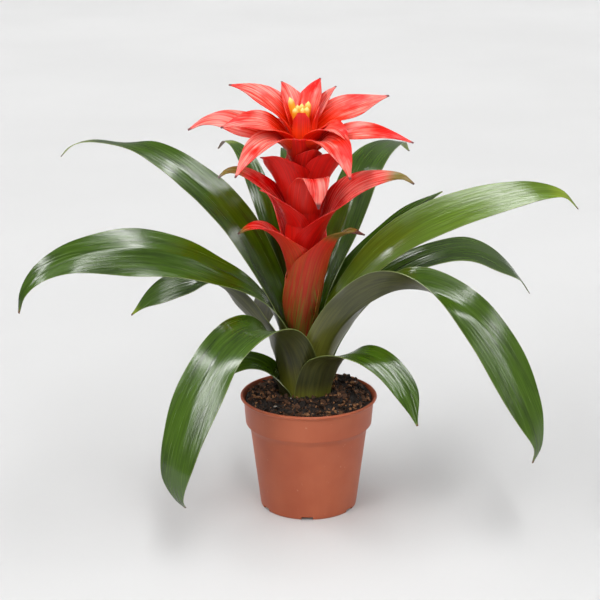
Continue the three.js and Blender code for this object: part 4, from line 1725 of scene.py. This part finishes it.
    def dress(self) -> bpy.types.Object:
        """Places the pot and gives it its plastic finish.

        Returns:
            The piece.
        """
        mesh = self.build()
        mesh.materials.clear()
        mesh.materials.append(PotFinish().material())
        return place_piece("grower_pot", mesh, Slot.POT, "pot")


@dataclass(frozen=True)
class LooseBits:
    """One kind of loose bit of bark on the soil.

    Attributes:
        count: how many there are.
        clear: how far they stay out from the hole's edge and in from the wall.
        long: least and greatest length of most of them.
        rare: what the longest add to that, and the power that makes them rare.
        wide: least and greatest width, as shares of the length.
        thick: least and greatest thickness, as shares of the length.
        proud: least and greatest height of their middles above the soil.
    """

    count: int
    clear: Place
    long: Span
    rare: tuple[float, int]
    wide: Span
    thick: Span
    proud: Span


@dataclass
class Soil:
    """The mounded bark soil with its hole for the plant, its chips and its crumbs."""

    pot: Pot
    edge: float = 99
    mound: float = 104.5
    slope_end: float = 0.75   # shares from here on run from 0 at the hole to 1 at the wall
    bottom: float = 2.1
    hole_radius: float = 25.2
    hole_floor: float = 92
    lump: float = 1.3
    rough: float = 0.06   # how far the lumps are shifted towards the hole
    gap: float = 0.3
    bank: Triple = (4.5, 0.9, 0.5)   # height, direction and spread of the heap at one side
    bank_start: float = 0.2
    lumps: Points = ((5, 1), (9, -0.7), (3, 0.45))   # waves round the pot and across it
    crumble: Place = (1.3, 0.35)   # height and fineness
    crumble_noise: tuple[float, float, int] = (0.6, 2.0, 4)   # roughness, step and layers
    ground_tone: float = 0.1
    chip_count: int = 24
    chip_size: Points = ((5, 5), (3, 3), (1.5, 1.2))   # least and spread of length, width and thickness
    chip_grown: float = 1.15   # next to the frame's own chips
    chip_radius: Place = (31, 17)   # least and spread
    chip_tilt: float = 25
    chip_step: Place = (137.5, 20)   # turn from chip to chip and its play, in degrees
    chip_proud: float = 0.2
    chip_tone: Span = (0.3, 0.85)
    chunks: LooseBits = LooseBits(
        count=420, clear=(-1.4, 1.8), long=(2.2, 4.2), rare=(3.4, 4), wide=(0.4, 0.75),
        thick=(0.25, 0.55), proud=(0.2, 1.9),
    )
    chunk_tilt: float = 0.6
    chunk_tone: Span = (0.12, 0.95)
    chunk_dark: float = 1.3   # power that makes most chunks dark
    heap: float = 1.0   # how much higher chunks lie at the wall
    heap_span: Span = (0.6, 1)
    crumbs: LooseBits = LooseBits(
        count=1500, clear=(1.6, 2.2), long=(1.0, 2.4), rare=(2.6, 6), wide=(0.35, 0.9),
        thick=(0.25, 0.7), proud=(0, 0.9),
    )
    crumb_tone: Place = (0.9, 2.4)   # greatest, and the power that makes most crumbs dark
    grain_pick: float = 0.985   # draw above which a crumb is a white grain
    grain_tone: float = 0.97
    bit_rough: float = 0.45   # how much a bit's points stray
    sides: int = 150
    rings: int = 34

    def share(self, radius: float) -> float:
        """How far out a circle lies, from 0 at the hole to 1 at the wall."""
        return (radius - self.hole_radius) / (self.rim() - self.hole_radius)

    def rim(self) -> float:
        """Radius of the soil's edge, just clear of the pot."""
        return self.pot.inside(self.edge) - self.gap

    def outwards(self, radius: float, low: float, high: float) -> float:
        """A soft step on the way from the hole to the wall.

        Args:
            radius: the circle to test.
            low: where the step starts, as a share of the way.
            high: where it ends.

        Returns:
            0 nearer the hole and 1 nearer the wall.
        """
        return float(smooth(np.array(self.share(radius)), low, high))

    def point(self, radius: float, turn: float) -> Place:
        """A point of the soil's top seen from above.

        Args:
            radius: its circle, centred on the plant at the hole and on the pot at the wall.
            turn: its angle in radians.

        Returns:
            Its place.
        """
        share = 1 - self.share(radius)
        x = PLANT[0] * share + radius * math.cos(turn)
        return (x, PLANT[1] * share + radius * math.sin(turn))

    def height(self, radius: float, turn: float) -> float:
        """Height of the lumpy mound.

        Args:
            radius: the circle.
            turn: the angle in radians, from -pi to pi.

        Returns:
            The height.
        """
        level = self.mound + (self.edge - self.mound) * self.outwards(radius, 0, self.slope_end)
        high, towards, spread = self.bank
        bank = high * math.exp(-(((turn - towards) / spread) ** 2))
        bank *= self.outwards(radius, self.bank_start, 1)
        waves = sum(math.sin(a * turn + b * radius) for a, b in self.lumps) / 2
        swell = math.sin(math.pi * min(self.share(radius) + self.rough, 1))
        return level + bank + self.lump * waves * swell

    def above(self, radius: float, turn: float, proud: float) -> Vector:
        """A place on the mound or above it.

        Args:
            radius: its circle.
            turn: its angle in radians.
            proud: how far above the mound it lies.

        Returns:
            The place.
        """
        return Vector((*self.point(radius, turn), self.height(radius, turn) + proud))

    def turns(self) -> list[float]:
        """The angles of the mesh's spokes, from -pi to pi."""
        return [-math.pi + 2 * math.pi * i / self.sides for i in range(self.sides)]

    def rows(self) -> list[list[Triple]]:
        """The rings of the soil's body, from the hole's floor over the top to the underside.

        Returns:
            The rings. All points of the first and of the last are the same.
        """
        rows = [[(*PLANT, self.hole_floor)] * self.sides]
        rows.append([(*self.point(self.hole_radius, turn), self.hole_floor) for turn in self.turns()])
        for ring in range(self.rings + 1):
            radius = self.hole_radius + (self.rim() - self.hole_radius) * ring / self.rings
            rows.append([self.broken(radius, turn, ring) for turn in self.turns()])
        for z in (self.pot.collar_foot[1], self.pot.body_top[1], self.bottom):
            radius = self.pot.inside(z) - self.gap
            rows.append([(radius * math.cos(a), radius * math.sin(a), z) for a in self.turns()])
        rows.append([(0, 0, self.bottom)] * self.sides)
        return rows

    def ground(self, shape: Shape) -> None:
        """Adds the body of the soil, finely broken on top.

        Args:
            shape: the piece that it belongs to.
        """
        rows = self.rows()
        points = np.array(rows, float).reshape(-1, 3)
        last = len(points) - self.sides
        keep = [0, *range(self.sides, last), last]
        number = np.arange(len(points))
        number[: self.sides] = 0
        number[last:] = last
        number = np.searchsorted(keep, number)
        here = np.arange(self.sides)
        after = (here + 1) % self.sides
        faces = []
        for row in range(len(rows) - 1):
            a = row * self.sides
            b = a + self.sides
            faces.append(number[np.stack([a + here, b + here, b + after, a + after], 1)])
        shape.add(points[keep], np.vstack(faces), tone=self.ground_tone)

    def broken(self, radius: float, turn: float, ring: int) -> Triple:
        """A point of the top with fine crumbling laid over the mound.

        Args:
            radius: its circle.
            turn: its angle in radians.
            ring: the number of its circle, 0 at the hole.

        Returns:
            The point.
        """
        x, y = self.point(radius, turn)
        z = self.height(radius, turn)
        if 0 < ring < self.rings:
            high, fine = self.crumble
            z += high * noise.fractal(Vector((x, y, 0)) * fine, *self.crumble_noise)
        return (x, y, z)

    def bit(self, shape: Shape, dice: random.Random, at: Vector, size: Series, turn: Euler,
            tone: float) -> None:
        """Adds one broken bit of bark or peat.

        Args:
            shape: the piece that it belongs to.
            dice: the source of its roughness.
            at: its middle.
            size: its length, width and thickness.
            turn: how it lies.
            tone: its colour, from 0 for black peat to 1 for white grit.
        """
        points, faces = BIT
        stray = np.array([dice.random() for _ in points]) - 0.5
        moved = points * (1 + self.bit_rough * stray)[:, None]
        placed = (moved * np.array(size) / 2) @ np.array(turn.to_matrix()).T + np.array(at)
        shape.add(placed, faces, tone=tone)

    def thrown(self, bits: LooseBits, dice: random.Random) -> tuple[float, float, Triple]:
        """Draws where a loose bit lies and how large it is.

        Args:
            bits: the kind of bit.
            dice: the source of the draws.

        Returns:
            Its turn, its radius and its size.
        """
        turn = dice.uniform(-math.pi, math.pi)
        least, most = self.hole_radius + bits.clear[0], self.rim() - bits.clear[1]
        radius = math.sqrt(dice.uniform(least ** 2, most ** 2))
        long = dice.uniform(*bits.long) + bits.rare[0] * dice.random() ** bits.rare[1]
        return turn, radius, (long, long * dice.uniform(*bits.wide), long * dice.uniform(*bits.thick))

    def chips(self, shape: Shape, dice: random.Random) -> None:
        """Adds the large chips where the frame has them.

        Args:
            shape: the piece that they belong to.
            dice: the source of their roughness and tone.
        """
        draw = even_draw(CHIP_SEED)
        for i in range(self.chip_count):
            angle = (i * self.chip_step[0] + self.chip_step[1] * draw()) % 360
            turn = math.radians(angle - 360 if angle > 180 else angle)
            radius = self.chip_radius[0] + self.chip_radius[1] * draw()
            size = tuple(least + more * draw() for least, more in self.chip_size)
            tilt = [math.radians(self.chip_tilt * (2 * draw() - 1)) for _ in range(2)]
            lie = Euler((*tilt, math.radians(360 * draw())))
            grown = tuple(self.chip_grown * part for part in size)
            at = self.above(radius, turn, self.chip_proud)
            self.bit(shape, dice, at, grown, lie, dice.uniform(*self.chip_tone))

    def litter(self, shape: Shape) -> None:
        """Adds the large chips, the chunks heaped towards the wall and the crumbs between them.

        Args:
            shape: the piece that they belong to.
        """
        dice = random.Random(LITTER_SEED)
        self.chips(shape, dice)
        for _ in range(self.chunks.count):
            turn, radius, size = self.thrown(self.chunks, dice)
            tilt = [dice.gauss(0, self.chunk_tilt) for _ in range(2)]
            lie = Euler((*tilt, dice.uniform(0, 2 * math.pi)))
            heaped = self.heap * self.outwards(radius, *self.heap_span)
            at = self.above(radius, turn, dice.uniform(*self.chunks.proud) + heaped)
            self.bit(shape, dice, at, size, lie, dice.uniform(*self.chunk_tone) ** self.chunk_dark)
        for _ in range(self.crumbs.count):
            turn, radius, size = self.thrown(self.crumbs, dice)
            lie = Euler([dice.uniform(0, 2 * math.pi) for _ in range(3)])
            at = self.above(radius, turn, dice.uniform(*self.crumbs.proud))
            is_grain = dice.random() > self.grain_pick
            tone = self.grain_tone if is_grain else self.crumb_tone[0] * dice.random() ** self.crumb_tone[1]
            self.bit(shape, dice, at, size, lie, tone)

    def dress(self) -> bpy.types.Object:
        """Builds the soil and gives it its finish.

        Returns:
            The piece.
        """
        shape = Shape()
        self.ground(shape)
        self.litter(shape)
        mesh = shape.mesh("soil")
        mesh.materials.append(SoilFinish().material())
        return place_piece("potting_soil", mesh, Slot.SOIL, "soil")


def even_draw(seed: int) -> Callable[[], float]:
    """A repeatable source of shares, the one that places the chips of the frame.

    Args:
        seed: where it starts.

    Returns:
        A function that gives the next share each time.
    """
    state = [seed]

    def draw() -> float:
        """The next share."""
        state[0] = (state[0] * DRAW_FACTOR + DRAW_STEP) % DRAW_RANGE
        return state[0] / DRAW_RANGE

    return draw


def rounded_bit() -> tuple[np.ndarray, np.ndarray]:
    """A small rounded block that bits of bark are made from.

    Returns:
        Its points, about 1 from the middle, and its faces.
    """
    ball = bmesh.new()
    bmesh.ops.create_icosphere(ball, subdivisions=1, radius=1.0)
    ball.verts.ensure_lookup_table()
    points = np.array([v.co[:] for v in ball.verts])
    faces = np.array([[v.index for v in f.verts] + [f.verts[-1].index] for f in ball.faces])
    ball.free()
    return np.sign(points) * np.abs(points) ** BIT_SQUARENESS, faces


BIT = rounded_bit()


# ------------------------------------------------------------------------------ the plant


@dataclass
class Crown:
    """The short thick stem at soil level that leaves and flower stem grow from."""

    foot: float = 92.3
    top: float = 130
    top_radius: float = 6.2
    gap: float = 0.3   # room to the outermost sheath
    bevel: float = 0.8
    rings: int = 12
    groove: float = 0.35   # depth of the grooves between rings
    sides: int = 48

    def radius(self) -> float:
        """Its radius at the outermost sheath."""
        return (SHEATHS.radius - LEAF_THICK / 2) * SHEATHS.chord - self.gap

    def dress(self) -> bpy.types.Object:
        """Builds the crown and gives it its fibrous finish.

        Returns:
            The piece.
        """
        wide = self.radius()
        profile = [(0, self.foot), (wide - self.bevel, self.foot), (wide, self.foot + self.bevel)]
        for i in range(self.rings):
            share = i / (self.rings - 1)
            ring = wide + (self.top_radius - wide) * share
            groove = self.groove * math.sin(math.pi * share) * (i % 2)
            profile.append((ring - groove, SHEATHS.foot + (self.top - SHEATHS.foot) * share))
        profile.append((0, self.top))
        shape = Shape()
        shape.add(*lathe(tuple(profile), self.sides, PLANT))
        mesh = shape.mesh("crown")
        mesh.materials.append(CrownFinish().material())
        return place_piece("crown_core", mesh, Slot.CROWN, "crown")


@dataclass
class Foliage:
    """The strap leaves, each a piece of its own."""

    leaves: tuple[Leaf, ...] = LEAVES
    seed_step: float = 11.7   # sets the streaks of neighbours apart

    def dress(self) -> list[bpy.types.Object]:
        """Builds every leaf and gives it the shared leaf finish.

        Returns:
            The pieces, outermost leaf first.
        """
        material = LeafFinish().material()
        pieces = []
        for number, leaf in enumerate(self.leaves, 1):
            node = f"leaf_{number:02d}"
            shape = Shape()
            look = LEAF_LOOKS.get(number, PLAIN_LEAF)
            add_blade(shape, leaf.grown(), LEAF_WEAVE, look, self.seed_step * number)
            mesh = shape.mesh(node)
            mesh.materials.append(material)
            pieces.append(place_piece(f"strap_{node}", mesh, Slot.LEAF, node))
        return pieces


@dataclass(kw_only=True)
class Spike:
    """One red part of the flower: a core and the bracts that grow from it.

    Attributes:
        name: the piece's name.
        node: the solid that it stands for.
        bracts: its bracts, lowest first.
        looks: the looks of single bracts, by number.
        plain: the look of the others.
        core: radius and height of points up the core.
        axis: where the core stands.
        sides: steps round the core.
        core_share: the share of a blade whose colour the core takes.
        seed_step: how far apart the streaks of neighbouring bracts are drawn.
    """

    name: str
    node: str
    bracts: tuple[Bract, ...] | tuple[HeadBract, ...]
    looks: dict[int, Look]
    plain: Look
    core: Points
    axis: Place
    sides: int = 40
    core_share: float = 0.3
    seed_step: float = 5.3

    def dress(self, material: bpy.types.Material) -> bpy.types.Object:
        """Builds the core and the bracts as one piece.

        Args:
            material: the bract finish.

        Returns:
            The piece.
        """
        shape = Shape()
        profile = ((0, self.core[0][1]), *self.core, (0, self.core[-1][1]))
        points, faces = lathe(profile, self.sides, self.axis)
        shape.add(
            points, faces, across=0.0, rib=points[:, 0], run=points[:, 2], along=self.core_share,
            under=1.0, seed=0.0, foot=self.plain.foot, tip=NEVER, dry=NEVER, streak=0.0,
            glow=self.plain.glow,
        )
        for number, bract in enumerate(self.bracts, 1):
            look = self.looks.get(number, self.plain)
            add_blade(shape, bract.grown(), BRACT_WEAVE, look, self.seed_step * number)
        mesh = shape.mesh(self.name)
        mesh.materials.append(material)
        return place_piece(self.name, mesh, Slot.BRACT, self.node)


@dataclass
class Florets:
    """The small yellow flowers in the middle of the head, joined by their seat."""

    # x and y on the head, height of the tip and lean in degrees
    places: tuple[tuple[float, float, float, float], ...] = (
        (-10.5, 2, 364, 15),
        (5.6, 3, 360.5, 9),
        (-4, 2.5, 357.5, 7),
        (-6, -4, 356, 9),
        (0.6, -1, 355.5, 2),
        (4.5, -2, 356.5, 9),
        (0, 5.5, 358, 9),
    )
    radius: float = 3
    swell: Series = (0.6, 0.7, 0.8, 0.9, 0.98, 1.0, 0.82, 0.0)   # radius at even steps, as shares
    sunk: float = 0.7
    seat: Points = ((0, 337.3), (5, 337.3), (3, 341), (0, 342))
    seat_sides: int = 24
    seat_share: float = 0.2   # the share of a floret whose colour the seat takes
    rows: int = 22
    sides: int = 24
    petals: int = 3
    twist: float = 0.9   # radians from foot to tip
    groove: float = 0.2
    groove_sharp: float = 0.5   # power that makes the grooves narrow
    groove_span: Span = (0.25, 0.6)

    def bud(self, shape: Shape, place: tuple[float, float, float, float]) -> None:
        """Adds one floret: three petals closed to a point.

        Args:
            shape: the piece that it belongs to.
            place: where it stands on the head, how high its tip is and how it leans.
        """
        x, y, tip, lean = place
        length = tip - self.seat[0][1] - self.sunk
        t = np.linspace(0, 1, self.rows + 1)[1:-1]
        turns = np.arange(self.sides) * 2 * math.pi / self.sides
        petal = np.abs(np.cos(self.petals * (turns[None, :] + self.twist * t[:, None]) / 2))
        deep = self.groove * (1 - petal ** self.groove_sharp) * smooth(t, *self.groove_span)[:, None]
        ring = (along(self.swell, t) * self.radius)[:, None] * (1 - deep)
        up = np.repeat(t[:, None], self.sides, 1) * length
        points = np.stack([ring * np.cos(turns), ring * np.sin(turns), up], -1).reshape(-1, 3)
        points = np.vstack([points, [[0, 0, 0], [0, 0, length]]])
        run = np.concatenate([np.repeat(t, self.sides), [0, 1]])
        _, faces = lathe(tuple((1.0, z) for z in range(self.rows + 1)), self.sides)
        away = math.atan2(y, x)
        turn = Matrix.Rotation(away, 3, "Z") @ Matrix.Rotation(math.radians(lean), 3, "Y")
        hung = (points - np.array([0, 0, length])) @ np.array(turn).T
        shape.add(hung + np.array([HEAD[0] + x, HEAD[1] + y, tip]), faces, along=run)

    def dress(self) -> bpy.types.Object:
        """Builds the florets and gives them their waxy finish.

        Returns:
            The piece.
        """
        shape = Shape()
        points, faces = lathe(self.seat, self.seat_sides, HEAD)
        shape.add(points, faces, along=self.seat_share)
        for place in self.places:
            self.bud(shape, place)
        mesh = shape.mesh("florets")
        mesh.materials.append(FloretFinish().material())
        return place_piece("yellow_florets", mesh, Slot.FLORET, "florets")


# ------------------------------------------------------------------------------ studio


@dataclass
class Studio:
    """The pale floor, the soft lights and the camera at the photograph's angle."""

    distance: float = 1.5
    elevation: float = 16.8
    target: Triple = (-0.00765, 0, 0.1879)
    lens: float = 104.04
    sensor: float = 36
    floor_size: float = 30
    dim: float = 0.26   # the room's own light
    # where each strip light starts and ends from left to right, and its power
    strips: tuple[Triple, ...] = ((0.11, 0.2, 14), (-0.62, -0.53, 14), (0.7, 0.77, 8))
    strip_reach: Span = (-0.85, 0.4)   # from front to back
    strip_rise: Span = (0.1, 0.3)   # where they come in above the horizon
    strip_edge: float = 0.02
    lamp_at: Triple = (-0.5, -1.6, 1.2)
    lamp_spread: float = 30   # degrees, seen from the plant
    lamp_power: float = 0.2   # watts per square metre

    def camera(self) -> None:
        """Stands the camera in front of the plant, looking slightly down."""
        data = bpy.data.cameras.new("camera")
        data.lens = self.lens
        data.sensor_width = self.sensor
        camera = bpy.data.objects.new("camera", data)
        tilt = math.radians(self.elevation)
        look = Vector((0, math.cos(tilt), -math.sin(tilt)))
        camera.location = Vector(self.target) - self.distance * look
        camera.rotation_euler = (math.pi / 2 - tilt, 0, 0)
        bpy.context.scene.collection.objects.link(camera)
        bpy.context.scene.camera = camera

    def lamp(self) -> None:
        """Hangs a wide soft light far in front that faces the plant."""
        data = bpy.data.lights.new("front_light", "SUN")
        data.angle = math.radians(self.lamp_spread)
        data.energy = self.lamp_power
        lamp = bpy.data.objects.new("front_light", data)
        lamp.location = self.lamp_at
        lamp.rotation_euler = Vector(self.lamp_at).to_track_quat("Z", "Y").to_euler()
        bpy.context.scene.collection.objects.link(lamp)

    def floor(self) -> None:
        """Lays the floor, which isn't part of the plant."""
        half = self.floor_size / 2
        mesh = bpy.data.meshes.new("floor")
        corners = [(-half, -half, 0), (half, -half, 0), (half, half, 0), (-half, half, 0)]
        mesh.from_pydata(corners, [], [(0, 1, 2, 3)])
        mesh.materials.append(FloorFinish().material())
        floor = bpy.data.objects.new("floor", mesh)
        bpy.context.scene.collection.objects.link(floor)

    def sky(self) -> None:
        """Fills the room with dim white light and hangs long strip lights across it, front to back."""
        world = bpy.data.worlds.new("studio")
        world.use_nodes = True
        wiring = Wiring(world.node_tree)
        way = wiring.tree.nodes.new("ShaderNodeTexCoord").outputs["Generated"]
        parts = wiring.node("ShaderNodeSeparateXYZ", Vector=way).outputs
        inside = wiring.between(parts["Y"], *self.strip_reach, self.strip_edge)
        reach = wiring.sum("MULTIPLY", inside, wiring.step(parts["Z"], *self.strip_rise))
        glow: Socket | float = self.dim
        for left, right, power in self.strips:
            across = wiring.between(parts["X"], left, right, self.strip_edge)
            glow = wiring.sum("MULTIPLY_ADD", wiring.sum("MULTIPLY", across, reach), power, glow)
        background = wiring.tree.nodes["Background"]
        background.inputs["Color"].default_value = linear(WHITE)
        wiring.feed(background.inputs["Strength"], glow)
        bpy.context.scene.world = world

    def dress(self) -> None:
        """Sets the studio up and keeps its colours as they are."""
        bpy.context.scene.view_settings.view_transform = "Standard"
        self.camera()
        self.floor()
        self.sky()
        self.lamp()


def main() -> None:
    """Builds and dresses the plant, from the pot up, then sets up the studio."""
    logging.basicConfig(level=logging.INFO, format="%(name)s: %(message)s")
    pot = Pot()
    pot.dress()
    Soil(pot).dress()
    Crown().dress()
    Foliage().dress()
    red = BractFinish().material()
    Spike(
        name="flower_stem_bracts", node="flower_stem", bracts=STEM_BRACTS, looks=STEM_LOOKS,
        plain=PLAIN_BRACT, core=STALK, axis=PLANT,
    ).dress(red)
    Spike(
        name="flower_head_bracts", node="flower_head", bracts=HEAD_BRACTS, looks=HEAD_LOOKS,
        plain=PLAIN_HEAD, core=HEAD_CORE, axis=HEAD,
    ).dress(red)
    Florets().dress()
    Studio().dress()


if __name__ == "__main__":
    main()
